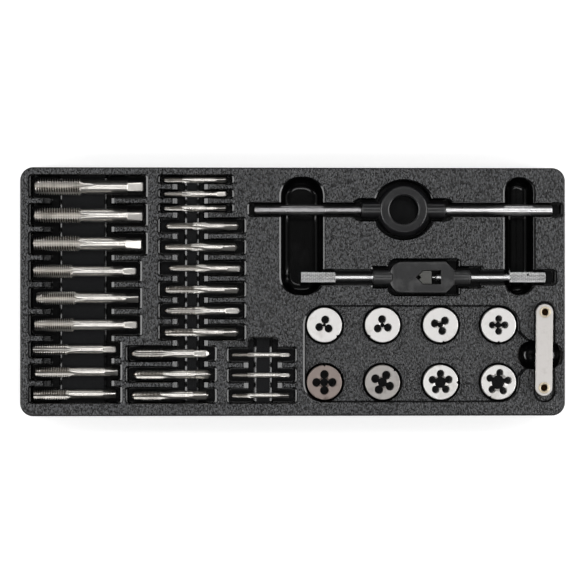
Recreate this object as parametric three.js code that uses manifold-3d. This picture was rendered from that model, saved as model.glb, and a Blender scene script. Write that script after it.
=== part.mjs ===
import * as THREE from "three";
import { mergeVertices } from "three/addons/utils/BufferGeometryUtils.js";
import Module from "manifold-3d";

// A 35-piece tap and die set in the moulded tray that drops into a tool chest drawer.
// Millimetres. X runs along the tray, Y towards its back edge and Z up.
// The origin is the middle of the tray's underside.

const wasm = await Module();
wasm.setup();

// Tray moulding
const trayHeight = 35;
const skin = 2;
const trayCornerRadius = 9.5;
const trayEdgeBevel = 1.2;
const pocketBevel = 0.8;
const wallDraft = 0.35;
const overrun = 1;
const seatGap = 0.3;
const leastFlat = 0.1;
const weldDistance = 1e-4;

// Rims and lands of the tray, from its left and front edges
const leftRim = 7.8;
const backRim = 5.8;
const frontRim = 9.5;
const panelFrontRim = 10.5;
const stockRightRim = 3;
const gaugeRightRim = 7;
const wideLand = 10.6;
const narrowLand = 5.75;
const stockLand = 14.8;
const stockBackRim = 9;
const panelLand = 7.7;
const gaugeLand = 12.5;
const wrenchLand = 7.9;
const ringLand = 14.4;

// Tap bays: fingers stand between the rows, a shelf carries the taps between two troughs
const bayEndRoom = 3.9;
const fingerWidth = 4.2;
const fingerTipDrop = 4;
const slotCorner = 1.8;
const troughDrop = 4;
const endShelfSink = 2;
const tapBelowTop = 0.7;

// One entry for each thread; row is the distance from one tap to the next
const tapSizes = {
  m12: { thread: 12, pitch: 1.75, length: 78, threaded: 32, runout: 12,
    shank: 9, square: 7, squareLength: 11.7, flutes: 4, point: 0, row: 20.4 },
  m10: { thread: 10, pitch: 1.5, length: 73.8, threaded: 27, runout: 11,
    shank: 7, square: 5.5, squareLength: 9.6, flutes: 4, point: 0, row: 19.3 },
  m8: { thread: 8, pitch: 1.25, length: 59.6, threaded: 24, runout: 11,
    shank: 6, square: 4.9, squareLength: 9.7, flutes: 3, point: 0, row: 16.1 },
  m7: { thread: 7, pitch: 1, length: 58.2, threaded: 22, runout: 10,
    shank: 6, square: 4.9, squareLength: 9.3, flutes: 3, point: 3.4, row: 15 },
  m6: { thread: 6, pitch: 1, length: 56.2, threaded: 22, runout: 8,
    shank: 6, square: 4.9, squareLength: 9.3, flutes: 3, point: 2.9, row: 15.4 },
  m5: { thread: 5, pitch: 0.8, length: 54.2, threaded: 20, runout: 8,
    shank: 6, square: 4.9, squareLength: 9.3, flutes: 3, point: 2.5, row: 15.2 },
  m4: { thread: 4, pitch: 0.7, length: 47.4, threaded: 14, runout: 6,
    shank: 4.5, square: 3.4, squareLength: 6.6, flutes: 3, point: 2, row: 10.2 },
  m3: { thread: 3, pitch: 0.5, length: 43.3, threaded: 12, runout: 5,
    shank: 3.5, square: 2.7, squareLength: 6.2, flutes: 3, point: 1.5, row: 14.6 },
};
const tapEndChamfer = 0.7;
const squareStep = 0.6;
const tapSides = 12;
const neckLength = 1.6;
const tapTipShare = 0.8;
const fluteCoreShare = 0.58;
const endFaceShare = 0.82;

// Lead of each tap of a set, in pitches of its thread, in the order that the rows hold them
const tapForms = [
  { name: "bottoming", leadPitches: 2 },
  { name: "second", leadPitches: 4 },
  { name: "taper", leadPitches: 7 },
];

// Where each tap lies along its pocket, as a share of the spare length there
const restShares = {
  m12: [0.64, 0.55, 0.3], m10: [0.3, 0.95, 0.55], m8: [0.2, 0.7, 0.3],
  m7: [0.4, 0.75, 0.3], m6: [0.45, 0.65, 0.28], m5: [0.54, 0.3, 0.95],
  m4: [0.35, 0.35, 0.35], m3: [0.25, 0.25, 0.25],
};
const rollDegrees = { m12: [0, 20, 12], m10: [0, 30, 0], m8: [0, 25, 35],
  m7: [0, 40, 35], m6: [30, 0, 40], m5: [35, 30, 20], m4: [40, 0, 45], m3: [0, 0, 40] };

// Places along the length of a bay, from its left wall
const mainBay = { finger: 14.1, leftTip: 7.2, shelfFrom: 19.8, shelfTo: 53.6,
  channelTo: 57.9, rightTip: 2.2 };
const midBay = { finger: 13.5, leftTip: 5.4, shelfFrom: 17.6, shelfTo: 28.2,
  channelTo: 31.8, rightTip: 3.6 };
const endBay = { finger: 14, leftTip: 4.7, shelfFrom: 18.3, shelfTo: 30.9,
  channelTo: 34.8, rightTip: 4.9 };
const endBayTail = 7;

// Round dies
const dieDiameter = 25.1;
const dieThickness = 9;
const dieEdgeBevel = 0.7;
const dieRoom = 0.5;
const diePanelDepth = 3;
const diePanelEdge = 0.55;
const diePitchX = 41.9;
const diePitchY = 41.25;
const dieNotch = 1.3;
const dieBoreShare = 0.43;
const dieSides = 20;
const diePocketSides = 16;
const dieShellSides = 10;
const chipHoleSides = 8;
const dieSizes = [
  { name: "m7", thread: 7, holes: 4, circle: 5.7, hole: 5.9, turn: 0, notch: 90, column: 0, row: 0 },
  { name: "m8", thread: 8, holes: 4, circle: 5.8, hole: 5.9, turn: 63, notch: 45, column: 1, row: 0 },
  { name: "m10", thread: 10, holes: 5, circle: 6.2, hole: 5.3, turn: 91, notch: 0, column: 2, row: 0 },
  { name: "m12", thread: 12, holes: 5, circle: 6.9, hole: 5.1, turn: 83, notch: -120, column: 3, row: 0 },
  { name: "m3", thread: 3, holes: 3, circle: 3.9, hole: 5.5, turn: 81, notch: -40, column: 0, row: 1 },
  { name: "m4", thread: 4, holes: 3, circle: 4.2, hole: 5.5, turn: 95, notch: -140, column: 1, row: 1 },
  { name: "m5", thread: 5, holes: 3, circle: 4.4, hole: 5.5, turn: 165, notch: -80, column: 2, row: 1 },
  { name: "m6", thread: 6, holes: 4, circle: 4.5, hole: 4.8, turn: 0, notch: -90, column: 3, row: 1 },
];

// Die stock: a ring with a seat for one die, two sockets and two screwed-in handles
const ringHeight = 14;
const ringTopDiameter = 33;
const ringDiameter = 38;
const ringBore = 21;
const ringWaist = 5;
const ringEdge = 0.8;
const dieSeatDepth = 9.3;
const socketDiameter = 12;
const socketReach = 30.4;
const socketEdge = 1;
const handleHole = 5.4;
const handleSeat = 10;
const stockLeftReach = 106.8;
const stockRightReach = 107.9;
const stockGrip = 8;
const stockRod = 5.8;
const stockLeftGripLength = 50;
const stockRightGripLength = 36;
const stockTaper = 12.9;
const gripEdge = 0.8;
const stockEndRoom = 2.3;
const stockFarRoom = 5.6;
const stockAxisDepth = 6;
const ringRoom = 2.3;
const socketRoom = 1.75;
const channelRoom = 0.8;
const channelCorner = 2.5;
const socketPocketReach = 35.5;
const pocketSlant = 4;
const grubDiameter = 3.6;
const grubLength = 4.5;
const grubRoom = 0.3;
const grubSocket = 1.8;
const grubSocketDepth = 1.6;
const grubLift = 1.5;
const grubSpread = 50;
const ringSides = 20;
const gripSides = 12;
const screwSides = 8;

// Tap wrench: a windowed body, a fixed handle and a handle whose screw drives the jaw
const wrenchHeight = 12;
const wrenchWidth = 22.8;
const wrenchFlat = 31.6;
const wrenchLeftNose = 8.5;
const wrenchRightNose = 7.4;
const wrenchNoseWidth = 11.2;
const wrenchFlatOffset = 0.5;
const wrenchSocket = 10.8;
const wrenchLeftSocket = 12.3;
const wrenchRightSocket = 10.8;
const wrenchEdge = 0.9;
const wrenchWeb = 2;
const noseAlongShares = [1, 0.72, 0.36, 0];
const noseAcrossShares = [0, 0.5, 0.84, 1];
const windowWidth = 10;
const windowTip = 5.5;
const windowEnd = 12.9;
const jawLength = 9.7;
const jawRoom = 0.35;
const jawShut = 0.6;
const jawTravel = 5.5;
const jawNotch = 1.7;
const jawThickness = 9.5;
const screwDiameter = 4;
const screwTipGap = 0.3;
const wrenchRod = 5.6;
const wrenchGrip = 7.6;
const wrenchLeftReach = 88;
const wrenchRightReach = 88.6;
const wrenchLeftGrip = 24.6;
const wrenchRightGrip = 26;
const wrenchRodTaper = 1.2;
const crossHole = 2.2;
const crossHoleInset = 12.9;
const wrenchEndRoom = 0.6;
const wrenchPocketRoom = 1.5;
const wrenchSocketRoom = 2.1;
const wrenchRodRoom = 1.6;
const wrenchSocketPocket = 41.7;

// Finger scoops
const leftScoop = { width: 30.4, corner: 14, inset: 21.2, depth: 22, round: 9 };
const rightScoop = { width: 20.4, corner: 10, depth: 20, round: 8 };
const scoopBackRoom = 24;
const scoopFrontRoom = 12.3;
const gripInScoop = 14;
const rightScoopFrom = 60.1;
const gaugeScoop = { length: 31.2, width: 19.6, depth: 14, round: 7, line: 43.4 };
const gaugeScoopInset = 11;
const scoopSweepShare = 0.94;
const funnelBack = 66.4;
const funnelReach = 22;
const funnelFrontReach = 15;
const funnelFrontStart = 5;
const funnelMouth = 53;
const funnelFrontMouth = 29;

// Screw pitch gauge: two plates, two eyelets and two fans of leaves
const gaugeLength = 65.8;
const gaugeWidth = 11.7;
const gaugeRivetInset = 5.7;
const gaugeEndSteps = 4;
const gaugePlate = 1;
const gaugeRoomX = 1.2;
const gaugeRoomY = 2.8;
const gaugePocketDepth = 1.8;
const gaugePocketBack = 2;
const gaugeRest = { x: -0.6, y: 1.4, turn: -0.75 };
const gaugeBackInset = 10.2;
const rivetHole = 4.4;
const rivetBarrel = 5.2;
const rivetFlange = 7.2;
const rivetSides = 12;
const rivetFlangeHeight = 0.7;
const rivetRoom = 0.3;
const rivetLift = 0.1;
const leafCount = 5;
const leafThickness = 0.5;
const leafGap = 0.15;
const leafRoot = 9.4;
const leafGrip = 9;
const leafInner = 0.3;
const leafInset = 0.5;
const leafTip = 2.4;
const leafTipRoom = 3.8;
const leafRootShare = 0.12;
const leafRootSteps = 5;

// Derived heights
const mainShelfDepth = tapSizes.m12.thread + seatGap + tapBelowTop;
const midShelfDepth = tapSizes.m7.thread + seatGap + tapBelowTop;
const endShelfDepth = tapSizes.m3.thread + seatGap + tapBelowTop + endShelfSink;
const axisZ = trayHeight - stockAxisDepth;
const diePocketDepth = dieThickness + seatGap;

// Derived lengths of the tray, each row of pockets laid out one after another
const bayLength = (size) => tapSizes[size].length + bayEndRoom;
const dieEdgeRoom = dieDiameter / 2 + dieRoom + diePanelEdge;
const panelWidth = dieEdgeRoom * 2 + diePitchX * 3;
const panelDepthY = dieEdgeRoom * 2 + diePitchY;
const gaugePocketWidth = gaugeWidth + gaugeRoomX * 2;
const midFrom = leftRim + bayLength("m12") + wideLand;
const sevenFrom = leftRim + bayLength("m8") + narrowLand;
const endFrom = sevenFrom + bayLength("m7") + wideLand;
const stockFrom = Math.max(midFrom + bayLength("m4") + stockLand,
  midFrom + bayLength("m6") + narrowLand - pocketBevel);
const stockChain = stockFrom + stockEndRoom + stockLeftReach + stockRightReach + stockFarRoom;
const panelFrom = endFrom + bayLength("m3") + panelLand;
const gaugeFrom = panelFrom + panelWidth + gaugeLand;
const wrenchFrom = stockFrom + leftScoop.inset + gripInScoop;
const wrenchChain = wrenchFrom + wrenchLeftReach + wrenchRightReach + jawTravel + wrenchEndRoom;
const trayWidth = Math.max(stockChain + stockRightRim, wrenchChain + stockRightRim,
  gaugeFrom + gaugePocketWidth + gaugeRightRim);

// Derived depths of the tray
const rowsHeight = (sizes) => sizes.reduce((sum, size) => sum + tapSizes[size].row * 3, 0);
const wrenchHalf = wrenchWidth / 2 + wrenchPocketRoom;
const ringHalf = ringDiameter / 2 + ringRoom;
const wrenchUp = panelFrontRim + panelDepthY + wrenchLand + wrenchHalf;
const stockUp = wrenchUp + wrenchHalf + ringLand + ringHalf;
const midRows = rowsHeight(["m4", "m5", "m6"]) + rowsHeight(["m7"]) - fingerWidth;
const trayDepth = Math.max(frontRim + rowsHeight(["m12", "m10", "m8"]) - fingerWidth + backRim,
  frontRim + midRows + backRim, stockUp + ringHalf + stockBackRim);

// Places in the tray's own frame
const left = -trayWidth / 2;
const front = -trayDepth / 2;
const back = trayDepth / 2;
const stockX = left + stockFrom + stockEndRoom + stockLeftReach;
const stockY = front + stockUp;
const wrenchX = left + wrenchFrom + wrenchLeftReach;
const wrenchY = front + wrenchUp;
const firstDieX = left + panelFrom + dieEdgeRoom;
const firstDieY = front + panelFrontRim + dieEdgeRoom;
const gaugeX = left + gaugeFrom + gaugePocketWidth / 2;
const gaugeY = front + panelFrontRim + panelDepthY + gaugePocketBack - gaugeRoomY - gaugeLength / 2
  + pocketBevel;

// Finishes
const blackPlastic = { color: 0x17181a, roughness: 0.62, metalness: 0 };
const groundSteel = { color: 0xb9b4aa, roughness: 0.3, metalness: 1 };
const dieSteel = { color: 0xc9c6bd, roughness: 0.34, metalness: 1 };
const blackOxide = { color: 0x1b1c1e, roughness: 0.45, metalness: 0.6 };
const chrome = { color: 0xe2e2e4, roughness: 0.12, metalness: 1 };
const greySteel = { color: 0x7b7d7c, roughness: 0.5, metalness: 0.8 };
const plateSteel = { color: 0xc2c4c6, roughness: 0.32, metalness: 1 };
const brass = { color: 0xa5793b, roughness: 0.38, metalness: 1 };

// Turns a closed three.js geometry into a solid that can be joined and cut
function solidOf(geometry) {
  const bare = geometry.index ? geometry.toNonIndexed() : geometry.clone();
  bare.deleteAttribute("normal");
  bare.deleteAttribute("uv");
  const merged = mergeVertices(bare, weldDistance);
  const index = merged.index.array;
  const triVerts = [];
  for (let i = 0; i < index.length; i += 3) {
    const [a, b, c] = [index[i], index[i + 1], index[i + 2]];
    if (a !== b && b !== c && a !== c) triVerts.push(a, b, c);
  }
  return new wasm.Manifold(new wasm.Mesh({ numProp: 3,
    vertProperties: new Float32Array(merged.attributes.position.array),
    triVerts: new Uint32Array(triVerts) }));
}

function meshOf(name, solid, finish) {
  const { vertProperties, triVerts } = solid.getMesh();
  const geometry = new THREE.BufferGeometry();
  geometry.setAttribute("position", new THREE.BufferAttribute(new Float32Array(vertProperties), 3));
  geometry.setIndex(new THREE.BufferAttribute(new Uint32Array(triVerts), 1));
  geometry.computeVertexNormals();
  const mesh = new THREE.Mesh(geometry, new THREE.MeshStandardMaterial(finish));
  mesh.name = name;
  return mesh;
}

const joined = (solids) => solids.reduce((whole, solid) => whole.add(solid));

// Skins a row of rings, each with the same number of points, and closes both ends
function loft(rings) {
  const count = rings[0].length;
  const points = rings.flat();
  const faces = [];
  for (let r = 0; r + 1 < rings.length; r += 1) {
    for (let i = 0; i < count; i += 1) {
      const [a, b] = [r * count + i, r * count + (i + 1) % count];
      faces.push([a, b, b + count], [a, b + count, a + count]);
    }
  }
  const last = (rings.length - 1) * count;
  [[0, rings[0]], [last, rings.at(-1)]].forEach(([start, ring], end) => {
    const centre = ring.reduce((sum, p) => sum.add(p), new THREE.Vector3()).divideScalar(count);
    points.push(centre);
    for (let i = 0; i < count; i += 1) {
      const [a, b] = [start + i, start + (i + 1) % count];
      faces.push(end === 0 ? [points.length - 1, b, a] : [points.length - 1, a, b]);
    }
  });
  const volume = faces.reduce((sum, [a, b, c]) =>
    sum + points[a].dot(new THREE.Vector3().crossVectors(points[b], points[c])), 0);
  const geometry = new THREE.BufferGeometry().setFromPoints(points);
  geometry.setIndex(faces.flatMap(([a, b, c]) => (volume > 0 ? [a, b, c] : [a, c, b])));
  return geometry;
}

// Outlines are counter-clockwise lists of points
function roundedOutline(x0, y0, x1, y1, radius, steps = 3) {
  const limit = Math.min(radius, (x1 - x0) / 2 - leastFlat, (y1 - y0) / 2 - leastFlat);
  const [right, up] = [x1 - limit, y1 - limit];
  const corners = [[right, up], [x0 + limit, up], [x0 + limit, y0 + limit], [right, y0 + limit]];
  return corners.flatMap(([x, y], corner) => Array.from({ length: steps + 1 }, (_, i) => {
    const angle = (corner + i / steps) * Math.PI / 2;
    return new THREE.Vector2(x + limit * Math.cos(angle), y + limit * Math.sin(angle));
  }));
}

function circleOutline(x, y, radius, steps) {
  return Array.from({ length: steps }, (_, i) => {
    const angle = (i * 2 * Math.PI) / steps;
    return new THREE.Vector2(x + radius * Math.cos(angle), y + radius * Math.sin(angle));
  });
}

const pointOutline = (pairs) => pairs.map(([x, y]) => new THREE.Vector2(x, y));

// Moves every edge of an outline outwards by the same distance
function grown(outline, distance) {
  const normal = (a, b) => new THREE.Vector2(b.y - a.y, a.x - b.x).normalize();
  return outline.map((point, i) => {
    const before = normal(outline.at(i - 1), point);
    const after = normal(point, outline[(i + 1) % outline.length]);
    return before.clone().add(after).multiplyScalar(distance / (1 + before.dot(after))).add(point);
  });
}

const ringAt = (outline, z) => outline.map((p) => new THREE.Vector3(p.x, p.y, z));

// Levels are pairs of how far the wall is inside the floor's outline and how deep it is there
const mouthLevels = [[-wallDraft - pocketBevel, 0], [-wallDraft, pocketBevel]];
const straightLevels = (depth) => [...mouthLevels, [0, depth]];

function roundLevels(depth, radius, steps = 2) {
  const arc = Array.from({ length: steps + 1 }, (_, i) => {
    const angle = (i / steps) * Math.PI / 2 * scoopSweepShare;
    return [radius * (1 - Math.cos(angle)), depth - radius * (1 - Math.sin(angle))];
  });
  return [...mouthLevels, ...arc];
}

const pocket = (outline, depth) => ({ outline, levels: straightLevels(depth) });
const plainPocket = (outline, depth) => ({ outline, levels: [[-wallDraft, 0], [0, depth]] });
const scoop = (outline, depth, radius) => ({ outline, levels: roundLevels(depth, radius) });

function pocketCutter({ outline, levels }) {
  const [mouth] = levels[0];
  const rings = [ringAt(grown(outline, -mouth), trayHeight + overrun)];
  levels.forEach(([inset, depth]) => rings.push(ringAt(grown(outline, -inset), trayHeight - depth)));
  return solidOf(loft(rings));
}

// The same pocket seen from below, one skin larger all round
function pocketShell({ outline, levels }) {
  const [inset, depth] = levels.at(-1);
  const waist = levels.length > mouthLevels.length + 1 ? [levels[mouthLevels.length]] : [];
  return solidOf(loft([ringAt(grown(outline, skin + wallDraft), trayHeight),
    ...[...waist, [inset, depth]].map(([step, down]) =>
      ringAt(grown(outline, skin - step), trayHeight - down - skin))]));
}

// Turned work: a profile of pairs of distance along the axis and radius, laid along X
function turned(profile, steps) {
  const points = profile.map(([along, radius]) => new THREE.Vector2(radius, along));
  return solidOf(new THREE.LatheGeometry(points, steps).rotateZ(-Math.PI / 2));
}

function upright(profile, steps) {
  const points = profile.map(([radius, z]) => new THREE.Vector2(radius, z));
  return solidOf(new THREE.LatheGeometry(points, steps).rotateX(Math.PI / 2));
}

const rod = (from, to, radius, steps) =>
  turned([[from, 0], [from, radius], [to, radius], [to, 0]], steps);

const post = (z0, z1, radius, steps) =>
  upright([[0, z0], [radius, z0], [radius, z1], [0, z1]], steps);

function plate(outline, z0, z1, holes = []) {
  const shape = new THREE.Shape(outline);
  shape.holes = holes.map((hole) => new THREE.Path(hole));
  const geometry = new THREE.ExtrudeGeometry(shape, { depth: z1 - z0, bevelEnabled: false });
  return solidOf(geometry.translate(0, 0, z0));
}

// Plate with a bevel along its top and bottom edges
function easedPlate(outline, z0, z1, bevel) {
  return solidOf(loft([ringAt(grown(outline, -bevel), z0), ringAt(outline, z0 + bevel),
    ringAt(outline, z1 - bevel), ringAt(grown(outline, -bevel), z1)]));
}

// Rows of one bay, from its back wall forwards
function rowsOf(sizes, backWall) {
  let edge = backWall;
  return sizes.flatMap((size) => tapForms.map((form, i) => {
    const slot = tapSizes[size].row - fingerWidth;
    const row = { size, form, index: i, back: edge, front: edge - slot, y: edge - slot / 2 };
    edge -= tapSizes[size].row;
    return row;
  }));
}

const bays = {
  main: { x: left + leftRim, plan: mainBay, depth: mainShelfDepth,
    rows: rowsOf(["m12", "m10", "m8"], back - backRim) },
  mid: { x: left + midFrom, plan: midBay, depth: midShelfDepth,
    rows: rowsOf(["m4", "m5", "m6"], back - backRim) },
  seven: { x: left + sevenFrom, plan: midBay, planX: left + midFrom, depth: midShelfDepth,
    rows: rowsOf(["m7"], front + frontRim + rowsHeight(["m7"]) - fingerWidth) },
  end: { x: left + endFrom, plan: endBay, depth: endShelfDepth,
    rows: rowsOf(["m3"], front + frontRim + rowsHeight(["m3"]) - fingerWidth) },
};

const wallOf = (bay, size) => bay.x + bayLength(size === "m5" ? "m6" : size);

// A slot has cut corners at its closed end and runs square into the trough at the other
function slotOutline(closedX, openX, y0, y1) {
  const side = Math.sign(openX - closedX);
  const inX = closedX + side * slotCorner;
  const points = [[inX, y0], [closedX, y0 + slotCorner], [closedX, y1 - slotCorner], [inX, y1],
    [openX, y1], [openX, y0]];
  return pointOutline(side > 0 ? points.reverse() : points);
}

// Slots on both sides of the shelf for one row
function slotPockets(bay, row) {
  const from = bay.planX ?? bay.x;
  const depth = bay.depth + troughDrop;
  const leftEnd = from + (bay.plan.finger + bay.plan.shelfFrom) / 2;
  const rightEnd = from + (bay.plan.shelfTo + bay.plan.channelTo) / 2;
  return [plainPocket(slotOutline(bay.x, leftEnd, row.front, row.back), depth),
    plainPocket(slotOutline(wallOf(bay, row.size), rightEnd, row.front, row.back), depth)];
}

// The shelf channel and its two troughs run across every row
function channelPockets(bay, y0, y1, tail = 0) {
  const x = (place) => (bay.planX ?? bay.x) + bay.plan[place];
  const lane = (from, to, depth) =>
    plainPocket(roundedOutline(x(from), y0, x(to), y1 + tail, slotCorner, 1), depth);
  const troughDepth = bay.depth + troughDrop;
  return [lane("finger", "channelTo", bay.depth), lane("finger", "shelfFrom", troughDepth),
    lane("shelfTo", "channelTo", troughDepth)];
}

// The ends of the fingers slope down to the troughs
function tipCutters(bay, y0, y1) {
  const x = (place) => (bay.planX ?? bay.x) + bay.plan[place];
  const top = trayHeight + overrun;
  const low = trayHeight - fingerTipDrop;
  const wedge = (from, to) => {
    const side = (y) => [[from, trayHeight], [to, low], [to, top], [from, top]]
      .map(([px, pz]) => new THREE.Vector3(px, y, pz));
    return solidOf(loft([side(y0), side(y1)]));
  };
  return [wedge(x("finger") - bay.plan.leftTip, x("finger") + overrun),
    wedge(x("channelTo") + bay.plan.rightTip, x("channelTo") - overrun)];
}

function blockShell(x0, y0, x1, y1, depth) {
  const outline = grown(pointOutline([[x0, y0], [x1, y0], [x1, y1], [x0, y1]]), skin);
  return solidOf(loft([ringAt(grown(outline, wallDraft), trayHeight),
    ringAt(outline, trayHeight - depth - skin)]));
}

// Seen from below, rows that end at the same wall are one block, and the channel is another
function bayShells(bay) {
  const depth = bay.depth + troughDrop;
  const walls = [...new Set(bay.rows.map((row) => wallOf(bay, row.size)))];
  return walls.map((wall) => {
    const rows = bay.rows.filter((row) => wallOf(bay, row.size) === wall);
    return blockShell(bay.x, rows.at(-1).front, wall, rows[0].back, depth);
  });
}

function channelShell(bay, y0, y1) {
  return blockShell(bay.x + bay.plan.finger, y0, bay.x + bay.plan.channelTo, y1, bay.depth + troughDrop);
}

function stockPockets() {
  const half = (diameter, room) => diameter / 2 + room;
  const channel = half(stockGrip, channelRoom);
  const socket = half(socketDiameter, socketRoom);
  const floor = (diameter) => stockAxisDepth + diameter / 2 + seatGap;
  const lane = (from, to) => pocket(roundedOutline(from, stockY - channel, to, stockY + channel,
    channelCorner, 2), floor(stockGrip));
  const [from, to] = [stockX - socketPocketReach, stockX + socketPocketReach];
  const [leftEnd, rightEnd] = [from - pocketSlant, to + pocketSlant / 2];
  const flare = pointOutline([[leftEnd, stockY - channel], [from, stockY - socket], [to, stockY - socket],
    [rightEnd, stockY - channel], [rightEnd, stockY + channel], [to, stockY + socket],
    [from, stockY + socket], [leftEnd, stockY + channel]]);
  const ring = circleOutline(stockX, stockY, ringHalf, ringSides);
  return [lane(left + stockFrom, stockX), lane(stockX, left + stockChain),
    pocket(flare, floor(socketDiameter)), pocket(ring, stockAxisDepth + ringHeight / 2 + seatGap)];
}

function wrenchPockets() {
  const floor = (height) => stockAxisDepth + height / 2 + seatGap;
  const box = (from, to, half, corner, depth) => pocket(roundedOutline(wrenchX + from, wrenchY - half,
    wrenchX + to, wrenchY + half, corner, 1), depth);
  const rodHalf = wrenchGrip / 2 + wrenchRodRoom;
  const socketHalf = wrenchSocket / 2 + wrenchSocketRoom;
  const bodyFrom = -wrenchFlat / 2 + wrenchFlatOffset - wrenchLeftNose;
  const bodyTo = wrenchFlat / 2 + wrenchFlatOffset + wrenchRightNose;
  const bodyHalf = wrenchWidth / 2 + wrenchPocketRoom;
  const body = pointOutline([[bodyFrom - wrenchPocketRoom, -socketHalf],
    [bodyFrom + wrenchLeftNose - wrenchPocketRoom, -bodyHalf], [bodyTo + wrenchPocketRoom, -bodyHalf],
    [bodyTo + wrenchPocketRoom, bodyHalf], [bodyFrom + wrenchLeftNose - wrenchPocketRoom, bodyHalf],
    [bodyFrom - wrenchPocketRoom, socketHalf]].map(([x, y]) => [wrenchX + x, wrenchY + y]));
  const end = wrenchRightReach + jawTravel + wrenchEndRoom;
  return [pocket(body, floor(wrenchHeight)),
    box(bodyFrom - wrenchLeftSocket, 0, socketHalf, pocketBevel, floor(wrenchSocket)),
    box(0, wrenchSocketPocket, socketHalf, pocketBevel, floor(wrenchSocket)),
    box(-wrenchLeftReach, 0, rodHalf, pocketBevel, floor(wrenchGrip)),
    box(0, end, rodHalf, channelCorner, floor(wrenchGrip))];
}

function scoopPockets() {
  const y0 = wrenchY - scoopFrontRoom;
  const y1 = stockY + scoopBackRoom;
  const x0 = left + stockFrom + leftScoop.inset;
  const x1 = wrenchX + rightScoopFrom;
  const gaugeLine = front + gaugeScoop.line;
  const gauge0 = gaugeX - gaugePocketWidth / 2 - gaugeScoopInset;
  return [
    scoop(roundedOutline(x0, y0, x0 + leftScoop.width, y1, leftScoop.corner), leftScoop.depth,
      leftScoop.round),
    scoop(roundedOutline(x1, y0, x1 + rightScoop.width, y1, rightScoop.corner), rightScoop.depth,
      rightScoop.round),
    scoop(roundedOutline(gauge0, gaugeLine - gaugeScoop.width / 2, gauge0 + gaugeScoop.length,
      gaugeLine + gaugeScoop.width / 2, gaugeScoop.width / 2), gaugeScoop.depth, gaugeScoop.round)];
}

const diePlace = ({ column, row }) => [firstDieX + column * diePitchX, firstDieY + row * diePitchY];

function panelPockets() {
  const x0 = left + panelFrom;
  const y0 = front + panelFrontRim;
  const panel = roundedOutline(x0, y0, x0 + panelWidth, y0 + panelDepthY, dieEdgeRoom, 4);
  const lastX = firstDieX + diePitchX * 3;
  const funnel = pointOutline([[lastX, y0], [lastX + funnelFrontStart, y0],
    [lastX + funnelFrontReach, front + funnelFrontMouth], [lastX + funnelReach, front + funnelMouth],
    [lastX + dieEdgeRoom - diePanelEdge, front + funnelBack], [lastX, front + funnelBack]]);
  return [pocket(panel, diePanelDepth), pocket(funnel, diePanelDepth)];
}

const diePockets = (sides) => dieSizes.map((die) =>
  pocket(circleOutline(...diePlace(die), dieDiameter / 2 + dieRoom, sides), diePocketDepth));

function gaugePocket() {
  const [halfX, halfY] = [gaugePocketWidth / 2, gaugeLength / 2 + gaugeRoomY];
  return pocket(roundedOutline(gaugeX - halfX, gaugeY - halfY, gaugeX + halfX, gaugeY + halfY,
    halfX, gaugeEndSteps), gaugePocketDepth);
}

function traySolid() {
  const edge = roundedOutline(left, front, -left, back, trayCornerRadius, 5);
  const block = solidOf(loft([ringAt(edge, 0), ringAt(edge, trayHeight - trayEdgeBevel),
    ringAt(grown(edge, -trayEdgeBevel), trayHeight)]));
  const inside = solidOf(loft([ringAt(grown(edge, -skin), -overrun),
    ringAt(grown(edge, -skin), trayHeight - skin)]));
  const groups = Object.values(bays);
  const span = (bay) => [bay.rows.at(-1).front, bay.rows[0].back];
  const bayPockets = groups.flatMap((bay) => bay.rows.flatMap((row) => slotPockets(bay, row)));
  const [midFront, midBack] = [span(bays.seven)[0], span(bays.mid)[1]];
  const channels = [...channelPockets(bays.main, ...span(bays.main)),
    ...channelPockets(bays.mid, midFront, midBack),
    ...channelPockets(bays.end, ...span(bays.end), endBayTail)];
  const tips = [...tipCutters(bays.main, ...span(bays.main)), ...tipCutters(bays.mid, midFront, midBack),
    ...tipCutters(bays.end, ...span(bays.end))];
  const open = [...stockPockets(), ...wrenchPockets(), ...scoopPockets(), ...panelPockets(), gaugePocket()];
  const [endFront, endBack] = span(bays.end);
  const channelShells = [channelShell(bays.mid, midFront, midBack),
    channelShell(bays.end, endFront, endBack + endBayTail)];
  const shells = [...groups.flatMap(bayShells), ...channelShells, ...open.map(pocketShell),
    ...diePockets(dieShellSides).map(pocketShell)];
  const cutters = [...bayPockets, ...channels, ...open, ...diePockets(diePocketSides)].map(pocketCutter);
  return block.subtract(inside.subtract(joined(shells))).subtract(joined([...cutters, ...tips]));
}

// Hand taps: fluted thread with a tapered lead, flutes that run out in the shank, and a square
function tapSection(size, x, radius, { flute = 0, square = false } = {}) {
  const period = tapSides / size.flutes;
  const phase = Math.PI / tapSides;
  const core = size.thread / 2 * fluteCoreShare;
  return Array.from({ length: tapSides }, (_, i) => {
    const angle = phase + (i * 2 * Math.PI) / tapSides;
    const inFlute = i % period > 1;
    let reach = inFlute ? radius + (Math.min(core, radius) - radius) * flute : radius;
    if (square) {
      const flat = size.square / 2 / Math.max(Math.abs(Math.cos(angle)), Math.abs(Math.sin(angle)));
      reach = Math.min(radius, flat * (radius / (size.shank / 2)));
    }
    return new THREE.Vector3(x, reach * Math.cos(angle), reach * Math.sin(angle));
  });
}

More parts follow.
